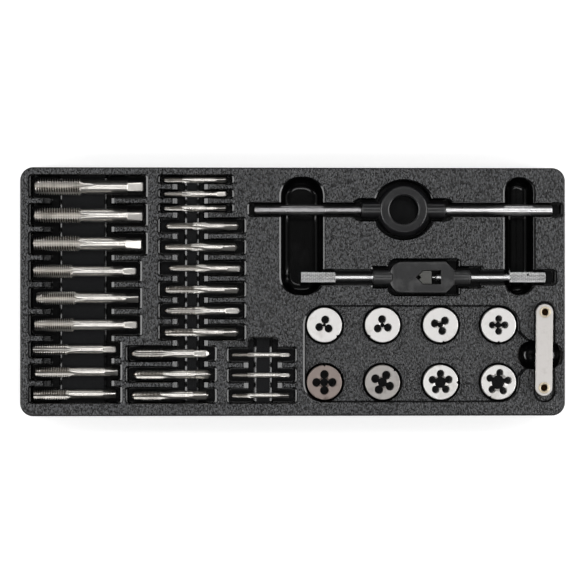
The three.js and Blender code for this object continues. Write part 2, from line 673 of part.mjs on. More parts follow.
function tapSolid(size, form) {
  const full = { flute: 1 };
  const square = { square: true };
  const threadRadius = size.thread / 2;
  const shankRadius = size.shank / 2;
  const tipRadius = threadRadius * tapTipShare;
  const lead = size.point + Math.min(form.leadPitches * size.pitch, size.threaded / 2);
  const squareFrom = size.length - size.squareLength - size.point;
  const pointed = size.point > 0;
  const nose = pointed ? [tapSection(size, 0, 0), tapSection(size, size.point, tipRadius, full)]
    : [tapSection(size, 0, tipRadius, full)];
  const tail = pointed ? [tapSection(size, size.length - size.point, shankRadius, square),
    tapSection(size, size.length, 0)]
    : [tapSection(size, size.length - tapEndChamfer, shankRadius, square),
      tapSection(size, size.length, shankRadius * endFaceShare, square)];
  return solidOf(loft([...nose, tapSection(size, lead, threadRadius, full),
    tapSection(size, size.threaded, threadRadius, full),
    tapSection(size, size.threaded + neckLength, shankRadius, full),
    tapSection(size, size.threaded + size.runout, shankRadius),
    tapSection(size, squareFrom, shankRadius),
    tapSection(size, squareFrom + squareStep, shankRadius, square), ...tail]));
}

function tapMeshes() {
  return Object.values(bays).flatMap((bay) => bay.rows.map((row) => {
    const size = tapSizes[row.size];
    const mesh = meshOf(`tap_${row.size}_${row.form.name}`, tapSolid(size, row.form), groundSteel);
    const spare = wallOf(bay, row.size) - bay.x - size.length - seatGap * 2;
    const widest = Math.max(size.thread, size.shank);
    mesh.position.set(bay.x + seatGap + spare * restShares[row.size][row.index], row.y,
      trayHeight - bay.depth + seatGap + widest / 2);
    mesh.rotation.x = THREE.MathUtils.degToRad(rollDegrees[row.size][row.index]);
    return mesh;
  }));
}

// Round dies: chip holes break into the threaded bore and leave the cutting lands
function dieSolid(die) {
  const radius = dieDiameter / 2;
  const through = (x, y, r, steps) => post(-overrun, dieThickness + overrun, r, steps).translate([x, y, 0]);
  const disc = upright([[0, 0], [radius - dieEdgeBevel, 0], [radius, dieEdgeBevel],
    [radius, dieThickness - dieEdgeBevel], [radius - dieEdgeBevel, dieThickness], [0, dieThickness]],
  dieSides);
  const bore = through(0, 0, die.thread * dieBoreShare, die.holes * 2);
  const holes = Array.from({ length: die.holes }, (_, i) => {
    const angle = THREE.MathUtils.degToRad(die.turn) + (i * 2 * Math.PI) / die.holes;
    return through(die.circle * Math.cos(angle), die.circle * Math.sin(angle), die.hole / 2, chipHoleSides);
  });
  const notchAngle = THREE.MathUtils.degToRad(die.notch);
  const notch = through(radius * Math.cos(notchAngle), radius * Math.sin(notchAngle), dieNotch, 4);
  return disc.subtract(joined([bore, ...holes, notch]));
}

function dieMeshes() {
  return dieSizes.map((die) => {
    const [x, y] = diePlace(die);
    const mesh = meshOf(`die_${die.name}`, dieSolid(die), dieSteel);
    mesh.position.set(x, y, trayHeight - diePocketDepth + seatGap);
    return mesh;
  });
}

// Die stock
function ringSolid() {
  const half = ringHeight / 2;
  const [outer, top] = [ringDiameter / 2, ringTopDiameter / 2];
  const seat = dieDiameter / 2 + seatGap;
  const body = upright([[ringBore / 2, half], [ringBore / 2, dieSeatDepth - half],
    [seat, dieSeatDepth - half], [seat, -half], [outer - ringEdge, -half], [outer, ringEdge - half],
    [outer, half - ringWaist], [top, half], [ringBore / 2, half]], ringSides);
  const wall = (ringBore / 2 + top) / 2;
  const socketRadius = socketDiameter / 2;
  const socket = turned([[wall, 0], [wall, socketRadius], [socketReach - socketEdge, socketRadius],
    [socketReach, socketRadius - socketEdge], [socketReach, 0]], gripSides);
  const boreCore = post(-half - overrun, half + overrun, (ringBore / 2 + seat) / 2, ringSides);
  const sockets = joined([socket, socket.rotate([0, 0, 180])]).subtract(boreCore);
  const hole = rod(socketReach - handleSeat, socketReach + overrun, handleHole / 2 + seatGap, screwSides);
  const screws = grubAngles().map((angle) =>
    rod(seat - overrun, outer + overrun, grubDiameter / 2 + grubRoom, screwSides).rotate([0, 0, angle])
      .translate([0, 0, -grubLift]));
  return joined([body, sockets]).subtract(joined([hole, hole.rotate([0, 0, 180]), ...screws]));
}

const grubAngles = () => [90, 90 - grubSpread, 90 + grubSpread];

function grubSolid() {
  const [radius, to] = [grubDiameter / 2, ringDiameter / 2 - seatGap];
  const from = to - grubLength;
  return turned([[from, 0], [from + radius, radius], [to, radius], [to, grubSocket / 2],
    [to - grubSocketDepth, grubSocket / 2], [to - grubSocketDepth, 0]], screwSides);
}

// A handle along +X from the middle of its tool: seat, rod, taper and grip
function handleSolid(from, to, grip, { seatRadius, seatTo, rodRadius, gripRadius, taper }) {
  return turned([[from, 0], [from, seatRadius], [seatTo, seatRadius], [seatTo, rodRadius],
    [to - grip - taper, rodRadius], [to - grip, gripRadius], [to - gripEdge, gripRadius],
    [to, gripRadius - gripEdge], [to, 0]], gripSides);
}

function stockMeshes() {
  const fit = { seatRadius: handleHole / 2, seatTo: socketReach + seatGap, rodRadius: stockRod / 2,
    gripRadius: stockGrip / 2, taper: stockTaper };
  const from = socketReach - handleSeat + seatGap;
  const leftHandle = handleSolid(from, stockLeftReach, stockLeftGripLength, { ...fit, taper: gripEdge })
    .rotate([0, 0, 180]);
  const rightHandle = handleSolid(from, stockRightReach, stockRightGripLength, fit);
  const screws = grubAngles().map((angle, i) => meshOf(`stock_grub_screw_${i + 1}`,
    grubSolid().rotate([0, 0, angle]).translate([0, 0, -grubLift]), greySteel));
  const group = new THREE.Group();
  group.add(meshOf("stock_ring", ringSolid(), blackOxide),
    meshOf("stock_handle_left", leftHandle, chrome),
    meshOf("stock_handle_right", rightHandle, chrome), ...screws);
  group.position.set(stockX, stockY, axisZ);
  return group;
}

// Tap wrench
function wrenchOutline() {
  const [from, to] = [wrenchFlatOffset - wrenchFlat / 2, wrenchFlatOffset + wrenchFlat / 2];
  const [half, nose] = [wrenchWidth / 2, wrenchNoseWidth / 2];
  const shoulder = (side) => noseAlongShares.map((share, i) =>
    [from - wrenchLeftNose * share, side * (nose + (half - nose) * noseAcrossShares[i])]);
  return pointOutline([...shoulder(-1), [to, -half], [to + wrenchRightNose, -nose],
    [to + wrenchRightNose, nose], [to, half], ...shoulder(1).reverse()]);
}

function windowOutline(grow) {
  const half = windowWidth / 2 + grow;
  return pointOutline([[-windowTip - grow, 0], [-windowTip - grow + half, -half], [windowEnd + grow, -half],
    [windowEnd + grow, half], [-windowTip - grow + half, half]]);
}

function frameSolid() {
  const half = wrenchHeight / 2;
  const body = easedPlate(wrenchOutline(), -half, half, wrenchEdge);
  const noseFrom = wrenchFlatOffset - wrenchFlat / 2 - wrenchLeftNose;
  const noseTo = wrenchFlatOffset + wrenchFlat / 2 + wrenchRightNose;
  const radius = wrenchSocket / 2;
  const collar = (from, to) => turned([[from, 0], [from, radius], [to - socketEdge, radius],
    [to, radius - socketEdge], [to, 0]], gripSides);
  const right = collar(windowEnd + wrenchWeb, noseTo + wrenchRightSocket);
  const leftCollar = collar(windowTip + wrenchWeb, wrenchLeftSocket - noseFrom).rotate([0, 0, 180]);
  const opening = plate(windowOutline(0), -half - overrun, half + overrun);
  const screwBore = rod(windowEnd - overrun, noseTo + wrenchRightSocket + overrun,
    screwDiameter / 2 + seatGap, screwSides);
  const handleBore = rod(wrenchLeftSocket - noseFrom - handleSeat, wrenchLeftSocket - noseFrom + overrun,
    handleHole / 2 + seatGap, screwSides).rotate([0, 0, 180]);
  return joined([body, right, leftCollar]).subtract(joined([opening, screwBore, handleBore]));
}

const jawFrom = jawShut + jawNotch - windowTip;

function jawSolid() {
  const half = windowWidth / 2 - jawRoom;
  const to = jawFrom + jawLength;
  const flank = jawFrom + half - jawNotch;
  const outline = pointOutline([[jawFrom + jawNotch, 0], [jawFrom, -jawNotch], [flank, -half], [to, -half],
    [to, half], [flank, half], [jawFrom, jawNotch]]);
  return plate(outline, -jawThickness / 2, jawThickness / 2);
}

function wrenchMeshes() {
  const noseTo = wrenchFlatOffset + wrenchFlat / 2 + wrenchRightNose;
  const noseFrom = wrenchFlatOffset - wrenchFlat / 2 - wrenchLeftNose;
  const leftEnd = wrenchLeftSocket - noseFrom;
  const fit = { rodRadius: wrenchRod / 2, gripRadius: wrenchGrip / 2, taper: wrenchRodTaper };
  const fixed = handleSolid(leftEnd - handleSeat + seatGap, wrenchLeftReach, wrenchLeftGrip,
    { ...fit, seatRadius: handleHole / 2, seatTo: leftEnd + seatGap }).rotate([0, 0, 180]);
  const jawEnd = jawFrom + jawLength;
  const rightEnd = noseTo + wrenchRightSocket;
  const moving = handleSolid(jawEnd + screwTipGap, wrenchRightReach, wrenchRightGrip,
    { ...fit, seatRadius: screwDiameter / 2, seatTo: rightEnd + seatGap })
    .subtract(post(-wrenchGrip, wrenchGrip, crossHole / 2, screwSides)
      .translate([wrenchRightReach - crossHoleInset, 0, 0]));
  const group = new THREE.Group();
  group.add(meshOf("wrench_frame", frameSolid(), blackOxide),
    meshOf("wrench_moving_jaw", jawSolid(), greySteel),
    meshOf("wrench_fixed_handle", fixed, chrome),
    meshOf("wrench_adjusting_handle", moving, chrome));
  group.position.set(wrenchX, wrenchY, axisZ);
  return group;
}

// Screw pitch gauge
const rivetY = gaugeLength / 2 - gaugeRivetInset;
const leafLength = rivetY * 2 - leafRoot / 2 - leafTipRoom;
const leafFloor = (level) => rivetFlangeHeight + gaugePlate + leafGap + level * (leafThickness + leafGap);
const gaugeTop = leafFloor(leafCount) + gaugePlate;

function gaugePlateSolid(z) {
  const [halfX, halfY] = [gaugeWidth / 2, gaugeLength / 2];
  const holes = [rivetY, -rivetY].map((y) => circleOutline(0, y, (rivetBarrel + rivetRoom) / 2, rivetSides));
  return plate(roundedOutline(-halfX, -halfY, halfX, halfY, halfX, gaugeEndSteps), z, z + gaugePlate,
    holes);
}

function rivetSolid() {
  const [hole, barrel, flange] = [rivetHole / 2, rivetBarrel / 2, rivetFlange / 2];
  const [low, high] = [rivetFlangeHeight - rivetLift, gaugeTop + rivetLift];
  return upright([[hole, 0], [flange, 0], [flange, low], [barrel, low], [barrel, high], [flange, high],
    [flange, high + rivetFlangeHeight], [hole, high + rivetFlangeHeight], [hole, 0]], rivetSides);
}

// A leaf hangs forwards from its rivet, on the left half of the sheath, with its grip at the root
function leafSolid(level) {
  const root = leafRoot / 2;
  const outer = leafInset - gaugeWidth / 2;
  const arc = Array.from({ length: leafRootSteps + 1 }, (_, i) => {
    const angle = Math.PI * (i / leafRootSteps - leafRootShare);
    return [root * Math.cos(angle), root * Math.sin(angle)];
  });
  const outline = pointOutline([...arc, [outer, -leafGrip], [outer, leafTip - leafLength],
    [outer + leafTip / 2, -leafLength], [-leafInner - leafTip / 2, -leafLength],
    [-leafInner, leafTip - leafLength], [-leafInner, -leafGrip]]);
  const z = leafFloor(level);
  const hole = circleOutline(0, 0, (rivetBarrel + rivetRoom * 2) / 2, rivetSides);
  return plate(outline, z, z + leafThickness, [hole]);
}

function gaugeMeshes() {
  const group = new THREE.Group();
  group.add(meshOf("gauge_plate_bottom", gaugePlateSolid(rivetFlangeHeight), plateSteel),
    meshOf("gauge_plate_top", gaugePlateSolid(leafFloor(leafCount)), plateSteel));
  [["back", 1], ["front", -1]].forEach(([end, side]) => {
    const rivet = meshOf(`gauge_rivet_${end}`, rivetSolid(), brass);
    rivet.position.y = rivetY * side;
    group.add(rivet);
    for (let level = 0; level < leafCount; level += 1) {
      const leaf = meshOf(`gauge_leaf_${end}_${level + 1}`, leafSolid(level), plateSteel);
      leaf.position.y = rivetY * side;
      leaf.rotation.z = side > 0 ? 0 : Math.PI;
      group.add(leaf);
    }
  });
  group.position.set(gaugeX + gaugeRest.x, gaugeY + gaugeRest.y, trayHeight - gaugePocketDepth + seatGap);
  group.rotation.z = THREE.MathUtils.degToRad(gaugeRest.turn);
  return group;
}

const set = new THREE.Group();
set.add(meshOf("tray", traySolid(), blackPlastic), ...tapMeshes(), ...dieMeshes(), stockMeshes(),
  wrenchMeshes(), gaugeMeshes());

export default set;
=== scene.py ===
# %% [markdown]
# # Dressing a tap and die set in its drawer tray
# The frame holds plain solids of every piece at its real size. This notebook gives each one its finished
# mesh and its material: a moulded black tray, ground steel taps and dies, and black and chrome hand tools.
# Lengths are written in millimetres, as on a drawing, and MM turns them into Blender's metres.

import math

import bpy
import numpy as np
from mathutils import Matrix, Vector


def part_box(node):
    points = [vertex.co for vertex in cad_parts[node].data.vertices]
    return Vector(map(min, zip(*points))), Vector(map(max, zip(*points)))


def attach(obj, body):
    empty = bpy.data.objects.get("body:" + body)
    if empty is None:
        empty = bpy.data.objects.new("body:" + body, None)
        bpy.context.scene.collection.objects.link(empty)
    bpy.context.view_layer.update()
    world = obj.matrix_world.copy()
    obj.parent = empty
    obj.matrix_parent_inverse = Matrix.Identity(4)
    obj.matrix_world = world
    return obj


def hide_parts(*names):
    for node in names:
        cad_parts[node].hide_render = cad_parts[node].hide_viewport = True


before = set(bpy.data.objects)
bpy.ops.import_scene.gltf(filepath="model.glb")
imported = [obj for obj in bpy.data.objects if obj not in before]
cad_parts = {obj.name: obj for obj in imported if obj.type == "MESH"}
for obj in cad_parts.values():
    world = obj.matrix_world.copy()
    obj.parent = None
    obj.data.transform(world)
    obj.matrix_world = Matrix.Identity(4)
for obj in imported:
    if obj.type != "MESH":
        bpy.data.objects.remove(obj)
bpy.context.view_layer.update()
MM = 0.001
tray_low, tray_high = (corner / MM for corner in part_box("tray"))
print("tray, mm:", tray_low, tray_high)

# %% [markdown]
# The photograph was taken from straight above with a long lens, leaning a touch to the left, so that the
# tray's left wall just shows. A long lens keeps the pockets' walls almost hidden. The lens follows from
# the width that the frame spans at the tray's top and from the camera's distance.

# %% Camera
VIEW_WIDTH = 419.6 * MM
CAMERA_DISTANCE = 1.9
LEAN_LEFT = 2.0
LEAN_FRONT = 0.3
SENSOR_WIDTH = 36
AIM = (-1.1, -0.2)

aim = Vector((*AIM, tray_high.z)) * MM
lean = Vector((-math.tan(math.radians(LEAN_LEFT)), -math.tan(math.radians(LEAN_FRONT)), 1))
camera_data = bpy.data.cameras.new("camera")
camera_data.sensor_width = SENSOR_WIDTH
camera_data.lens = SENSOR_WIDTH * CAMERA_DISTANCE / VIEW_WIDTH
camera = bpy.data.objects.new("camera", camera_data)
camera.location = aim + lean.normalized() * CAMERA_DISTANCE
camera.rotation_euler = (math.radians(LEAN_FRONT), -math.radians(LEAN_LEFT), 0)
bpy.context.scene.collection.objects.link(camera)
bpy.context.scene.camera = camera
bpy.context.scene.view_settings.view_transform = "Standard"
print("lens, mm:", round(camera_data.lens, 1))

# %% [markdown]
# Product light for bright tools in a black tray: a low soft box on the left and on the right, and a high
# strip in front and behind. The low boxes draw the bright lines along the pockets' left and right edges and
# rake over the grain, and the strips light the metal, whose fine grinding scatters them. Straight overhead,
# where the camera is, there is no light, so the plastic's smooth level faces mirror the dark and stay black.
# A low strip far behind draws a second thin line on the rods, where a finger scoop lets its light in.

# %% Lights, world and floor
LIGHTS = {
    "front": {"place": (0, -0.42, 1.18), "size": (1.2, 0.26), "power": 3.0},
    "back": {"place": (0, 0.42, 1.18), "size": (1.2, 0.26), "power": 3.0},
    "left": {"place": (-0.95, 0, 0.52), "size": (0.3, 1.0), "power": 6.0},
    "right": {"place": (0.95, 0, 0.52), "size": (0.3, 1.0), "power": 6.0},
    "low back": {"place": (0, 1.15, 0.38), "size": (1.2, 0.16), "power": 1.2},
}
WORLD_LEVEL = 0.06


def area_light(name, place, size, power):
    data = bpy.data.lights.new(name, "AREA")
    data.shape = "RECTANGLE"
    data.size, data.size_y = size
    data.energy = power
    light = bpy.data.objects.new(name, data)
    light.location = place
    light.rotation_euler = (-math.atan2(place[1], place[2]), math.atan2(place[0], place[2]), 0)
    light.visible_camera = False
    bpy.context.scene.collection.objects.link(light)


for light_name, light_facts in LIGHTS.items():
    area_light(light_name, **light_facts)
world = bpy.data.worlds.new("studio")
world.use_nodes = True
world.node_tree.nodes["Background"].inputs["Color"].default_value = (1, 1, 1, 1)
world.node_tree.nodes["Background"].inputs["Strength"].default_value = WORLD_LEVEL
bpy.context.scene.world = world

# %% [markdown]
# Blender's Math nodes get long when a shape or a finish follows a formula. Value wraps a socket, so that
# the formula can be written as in Python: each +, * or smaller() adds one Math node. It serves the
# geometry trees and the shader groups alike.


# %% Formulas as nodes
class Value:
    """A node socket that takes part in a formula."""

    def __init__(self, tree, socket):
        self.tree = tree
        self.socket = socket

    def math(self, operation, *others):
        node = self.tree.nodes.new("ShaderNodeMath")
        node.operation = operation
        for socket, item in zip(node.inputs, (self, *others)):
            put(self.tree, item, socket)
        return Value(self.tree, node.outputs[0])

    def __add__(self, other):
        return self.math("ADD", other)

    def __sub__(self, other):
        return self.math("SUBTRACT", other)

    def __mul__(self, other):
        return self.math("MULTIPLY", other)

    def __truediv__(self, other):
        return self.math("DIVIDE", other)

    def __rsub__(self, other):
        return self * -1.0 + other

    __radd__ = __add__
    __rmul__ = __mul__

    def smaller(self, other):
        return self.math("MINIMUM", other)

    def larger(self, other):
        return self.math("MAXIMUM", other)

    def above(self, other):
        return self.math("GREATER_THAN", other)

    def below(self, other):
        return self.math("LESS_THAN", other)

    def clamped(self, low=0.0, high=1.0):
        return self.larger(low).smaller(high)


def put(tree, item, socket):
    """Links a Value to a socket, or sets the socket to a plain number."""
    if isinstance(item, Value):
        tree.links.new(item.socket, socket)
    else:
        socket.default_value = item


def add_node(tree, kind, settings=None, **inputs):
    """Adds a node; inputs go by the socket's name, with spaces as underscores."""
    node = tree.nodes.new(kind)
    for key, value in (settings or {}).items():
        setattr(node, key, value)
    for key, item in inputs.items():
        put(tree, item, node.inputs[key.replace("_", " ")])
    return node


def new_tree(name, kind, inputs):
    """A node group with named inputs, which it returns as Values."""
    tree = bpy.data.node_groups.new(name, kind)
    for title, socket_type, default in inputs:
        socket = tree.interface.new_socket(name=title, in_out="INPUT", socket_type=socket_type)
        if default is not None:
            socket.default_value = default
    start = tree.nodes.new("NodeGroupInput")
    return tree, {s.name: Value(tree, s) for s in start.outputs if s.name}


def finish_tree(tree, socket_type, results):
    """Gives a node group its outputs, one for each Value."""
    for title in results:
        tree.interface.new_socket(name=title, in_out="OUTPUT", socket_type=socket_type)
    end = tree.nodes.new("NodeGroupOutput")
    for title, value in results.items():
        put(tree, value, end.inputs[title])


# %% [markdown]
# Every finish has some grain. The first group is the pebble of moulded plastic, as raised cells with soft
# edges, and a tone with painted shade between the cells and a painted sheen of speckles on them. It works on
# Object coordinates in metres, so that a cell keeps its real size. Mask says where the grain is: the mould is
# grained on the tray's top faces and nearly smooth in its pockets.

# %% Shader groups
FLOAT, INT = "NodeSocketFloat", "NodeSocketInt"


def finish_group(name, build, **defaults):
    """Makes a shader group of plain numbers; build() fills it and returns a Value for each output."""
    inputs = [(title.replace("_", " "), FLOAT, default) for title, default in defaults.items()]
    tree, given = new_tree(name, "ShaderNodeTree", inputs)
    finish_tree(tree, FLOAT, build(tree, given))
    return tree


def object_point(tree, stretch=(1, 1, 1)):
    """Object coordinates, stretched for grain that runs one way."""
    place = add_node(tree, "ShaderNodeTexCoord")
    mapping = add_node(tree, "ShaderNodeMapping", {"vector_type": "POINT"})
    mapping.inputs["Scale"].default_value = stretch
    tree.links.new(place.outputs["Object"], mapping.inputs["Vector"])
    return Value(tree, mapping.outputs["Vector"])


def noise(tree, point, scale, detail=2.0, roughness=0.5):
    node = add_node(tree, "ShaderNodeTexNoise", Vector=point, Scale=scale, Detail=detail,
                    Roughness=roughness)
    return Value(tree, node.outputs["Fac"])


def cells(tree, point, scale, smoothness=0.6):
    node = add_node(tree, "ShaderNodeTexVoronoi", {"feature": "SMOOTH_F1"}, Vector=point, Scale=scale,
                    Smoothness=smoothness)
    return Value(tree, node.outputs["Distance"])


def build_pebble(tree, given):
    point, per_metre = object_point(tree, (1.4, 0.7, 1)), given["Cells per metre"]
    hollow_share = cells(tree, point, per_metre)
    small = noise(tree, point, per_metre * 1.2, 1.0, 0.5)
    broad = noise(tree, object_point(tree), per_metre * 0.12, 3.0, 0.6)
    height = hollow_share * -0.7 + small * 0.5 + 0.7
    # Painted shade between the cells and painted sheen in speckles on them, with a broad drift at random.
    tone = (hollow_share * -1.2 + (small - 0.5) * 10.0 + (broad - 0.5) * 0.8 + 0.66).clamped()
    return {"Height": height * given["Mask"], "Tone": tone * given["Mask"]}


def build_grinding(tree, given):
    along = noise(tree, object_point(tree, (60, 2, 2)), given["Lines per metre"], 2.0, 0.6)
    across = noise(tree, object_point(tree), 160.0, 3.0, 0.6)
    return {"Height": along, "Tone": (along - 0.5) * 0.5 + (across - 0.5)}


def build_smudges(tree, given):
    broad = noise(tree, object_point(tree), given["Patches per metre"], 4.0, 0.62)
    return {"Amount": ((broad - given["Threshold"]) * 6.0).clamped()}


pebble = finish_group("pebble grain and painted sheen", build_pebble, Cells_per_metre=600.0, Mask=1.0)
grinding = finish_group("grinding lines", build_grinding, Lines_per_metre=60.0)
smudges = finish_group("handling marks", build_smudges, Patches_per_metre=60.0, Threshold=0.55)


# %% Material helpers
def placed_group(tree, group, **inputs):
    node = add_node(tree, "ShaderNodeGroup", {"node_tree": group}, **inputs)
    return {s.name: Value(tree, s) for s in node.outputs}


def mixed(tree, amount, first, second):
    """A colour between two others, each given as three numbers or a Value."""
    node = tree.nodes.new("ShaderNodeMix")
    node.data_type = "RGBA"
    put(tree, amount, node.inputs["Factor"])
    for item, socket in ((first, node.inputs[6]), (second, node.inputs[7])):
        put(tree, item if isinstance(item, Value) else (*item, 1), socket)
    return Value(tree, node.outputs[2])


def bumped(tree, height, strength, distance):
    node = add_node(tree, "ShaderNodeBump", Strength=strength, Distance=distance, Height=height)
    return Value(tree, node.outputs["Normal"])


def new_material(name, metallic=0.0, **shader):
    """A material and its tree, with a Principled BSDF whose plain sockets are set."""
    material = bpy.data.materials.new(name)
    material.use_nodes = True
    principled = material.node_tree.nodes["Principled BSDF"]
    principled.inputs["Metallic"].default_value = metallic
    for key, value in shader.items():
        principled.inputs[key.replace("_", " ")].default_value = value
    return material, material.node_tree, principled.inputs


# %% [markdown]
# The tray is black styrene with a pebbled top. The grain is bump with a rougher finish, and its raised cells
# are painted greyer than its hollows, as painted sheen for the light that they scatter. Height above the
# drawer and the way that a face looks tell the grained top from the smooth floors of the pockets. The finger
# shelves are painted a little greyer than those floors, as painted sheen.

# %% Black plastic
GRAIN_FROM, GRAIN_FULL, GRAIN_TILT = 31.2, 31.9, 0.94
SMOOTH_SHARE, SMOOTH_ROUGHNESS = 0.02, 0.15
SHELF_FROM, SHELF_PAINTED_SHEEN = 21.0, 0.12
PLASTIC, PLASTIC_PAINTED_SHEEN_AND_MARKS = (0.002, 0.002, 0.0022), (0.075, 0.077, 0.082)
GRAIN_RISE = 1.2 * MM


def z_of(tree, vector):
    split = add_node(tree, "ShaderNodeSeparateXYZ", Vector=vector)
    return Value(tree, split.outputs["Z"])


def make_plastic():
    material, tree, shader = new_material("black plastic", Specular_IOR_Level=0.5)
    height = z_of(tree, object_point(tree)) / MM
    facing = add_node(tree, "ShaderNodeTexCoord")
    upright = z_of(tree, Value(tree, facing.outputs["Normal"]))
    upwards = ((upright - GRAIN_TILT) / (1 - GRAIN_TILT)).clamped()
    high = ((height - GRAIN_FROM) / (GRAIN_FULL - GRAIN_FROM)).clamped()
    mask = (high * upwards).clamped(SMOOTH_SHARE, 1.0)
    grain = placed_group(tree, pebble, Cells_per_metre=600.0, Mask=mask)
    shelf = (height - SHELF_FROM).clamped() * upwards * (1 - mask)
    marks = placed_group(tree, smudges, Patches_per_metre=45.0, Threshold=0.56)
    # Painted sheen on the grained top and on the shelves, and the handling marks, lighten the black.
    tone = (grain["Tone"] + marks["Amount"] * 0.03 + shelf * SHELF_PAINTED_SHEEN).clamped()
    put(tree, mixed(tree, tone, PLASTIC, PLASTIC_PAINTED_SHEEN_AND_MARKS), shader["Base Color"])
    put(tree, grain["Tone"] * 0.2 + mask * 0.1 + SMOOTH_ROUGHNESS + marks["Amount"] * 0.04, shader["Roughness"])
    put(tree, bumped(tree, grain["Height"], 1.0, GRAIN_RISE), shader["Normal"])
    return material


plastic = make_plastic()

# %% [markdown]
# The floor is a pale sheet. It takes the tray's soft shadow, and for the camera and for mirror-like metal
# it is a little brighter than the light makes it, so that it comes out white.

# %% Floor
FLOOR_HALF = 2.5
FLOOR_DROP = 0.0002
FLOOR_GLOW = 0.5


def make_floor():
    corners = [(x * FLOOR_HALF, y * FLOOR_HALF, 0) for x, y in ((-1, -1), (1, -1), (1, 1), (-1, 1))]
    mesh = bpy.data.meshes.new("floor")
    mesh.from_pydata(corners, [], [(0, 1, 2, 3)])
    floor = bpy.data.objects.new("floor", mesh)
    floor.location.z = -FLOOR_DROP
    bpy.context.scene.collection.objects.link(floor)
    material, tree, shader = new_material("floor", Base_Color=(0.9, 0.9, 0.9, 1), Roughness=0.85)
    path = add_node(tree, "ShaderNodeLightPath")
    seen = Value(tree, path.outputs["Is Camera Ray"]) + Value(tree, path.outputs["Is Glossy Ray"])
    put(tree, (1, 1, 1, 1), shader["Emission Color"])
    put(tree, seen.clamped() * FLOOR_GLOW, shader["Emission Strength"])
    mesh.materials.append(material)


make_floor()

# %% [markdown]
# The tray is one moulding: a block with pockets sunk in it. It is made as a mould maker thinks of it: each
# pocket is a core, a loft of outlines that open towards the top, and the cores are cut out of the block
# with booleans. Each core's own outlines round the pocket's mouth and the foot of its walls. A thin wall
# follows the pockets on the underside, which is cut the same way with slightly larger cores.

# %% Outlines and lofts
OVERRUN = 1.0
DRAFT = 0.35
SKIN = 2.0
ROUND_STEPS = 4


def rounded(x0, y0, x1, y1, radius, steps=6):
    """A rectangle with rounded corners, counter-clockwise."""
    radius = min(radius, (x1 - x0) / 2 - 0.05, (y1 - y0) / 2 - 0.05)
    centres = [(x1 - radius, y1 - radius), (x0 + radius, y1 - radius),
               (x0 + radius, y0 + radius), (x1 - radius, y0 + radius)]
    turns = np.linspace(0, math.pi / 2, steps + 1)
    return np.array([(x + radius * math.cos(turn + corner * math.pi / 2),
                      y + radius * math.sin(turn + corner * math.pi / 2))
                     for corner, (x, y) in enumerate(centres) for turn in turns])


def circle(x, y, radius, steps=72):
    turns = np.arange(steps) * 2 * math.pi / steps
    return np.column_stack([x + radius * np.cos(turns), y + radius * np.sin(turns)])


def grown(outline, distance):
    """Moves every edge of an outline outwards by a distance."""
    ahead = np.roll(outline, -1, axis=0) - outline
    normals = np.column_stack([ahead[:, 1], -ahead[:, 0]])
    normals /= np.linalg.norm(normals, axis=1)[:, None]
    before = np.roll(normals, 1, axis=0)
    share = 1 + np.sum(normals * before, axis=1)
    return outline + (normals + before) * (distance / share)[:, None]


def curve_at(corner, before, after, radius, steps):
    """A small curve in place of one corner, between the points before and after it."""
    back, ahead = before - corner, after - corner
    reach = min(radius, np.linalg.norm(back) * 0.45, np.linalg.norm(ahead) * 0.45)
    start = corner + back / np.linalg.norm(back) * reach
    end = corner + ahead / np.linalg.norm(ahead) * reach
    shares = np.linspace(0, 1, steps + 1)[:, None]
    near, far = start + (corner - start) * shares, corner + (end - corner) * shares
    return near + (far - near) * shares


def softened(points, radius, steps=4):
    """Rounds the corners of an outline that is given by its corner points."""
    points = np.array(points, float)
    rows = zip(points, np.roll(points, 1, axis=0), np.roll(points, -1, axis=0))
    return np.vstack([curve_at(corner, before, after, radius, steps) for corner, before, after in rows])


def eased(points, radius, steps=3):
    """Rounds the inner corners of an open profile."""
    points = np.array(points, float)
    rows = zip(points[1:-1], points, points[2:])
    curves = [curve_at(corner, before, after, radius, steps) for corner, before, after in rows]
    return np.vstack([points[:1], *curves, points[-1:]])


def at_height(outline, z):
    return np.column_stack([outline, np.full(len(outline), z)])


def new_object(name, points, faces):
    """A mesh object from points in millimetres."""
    mesh = bpy.data.meshes.new(name)
    mesh.from_pydata([tuple(p) for p in np.asarray(points) * MM], [], faces)
    mesh.validate()
    made = bpy.data.objects.new(name, mesh)
    bpy.context.scene.collection.objects.link(made)
    return made


def loft(name, rings):
    """Skins rings of equally many points, from the top down, and closes both ends."""
    count = len(rings[0])
    last = (len(rings) - 1) * count
    sides = [(i, (i + 1) % count) for i in range(count)]
    faces = [(first + a, first + a + count, first + b + count, first + b)
             for first in range(0, last, count) for a, b in sides]
    faces.append(tuple(range(count)))
    faces.append(tuple(last + i for i in reversed(range(count))))
    return new_object(name, np.vstack(rings), faces)


# %% [markdown]
# A boolean with Blender's Manifold solver keeps such solids closed. The cores are modifiers on the block
# for a moment. The evaluated mesh then replaces the block's own, and the cores are deleted.


# %% Booleans and shading
def cut(base, others, operation="DIFFERENCE"):
    for other in others:
        modifier = base.modifiers.new("cut", "BOOLEAN")
        modifier.operation = operation
        modifier.solver = "MANIFOLD"
        modifier.object = other
    graph = bpy.context.evaluated_depsgraph_get()
    graph.update()
    result = bpy.data.meshes.new_from_object(base.evaluated_get(graph))
    base.modifiers.clear()
    base.data = result
    for other in others:
        bpy.data.objects.remove(other)
    return base


def shade(piece, angle, weighted):
    """Smooth shading up to an angle, with normals that keep large faces flat."""
    mesh = piece.data
    mesh.polygons.foreach_set("use_smooth", [True] * len(mesh.polygons))
    mesh.set_sharp_from_angle(angle=math.radians(angle))
    if weighted:
        modifier = piece.modifiers.new("flat faces stay flat", "WEIGHTED_NORMAL")
        modifier.keep_sharp = True
        modifier.weight = 100


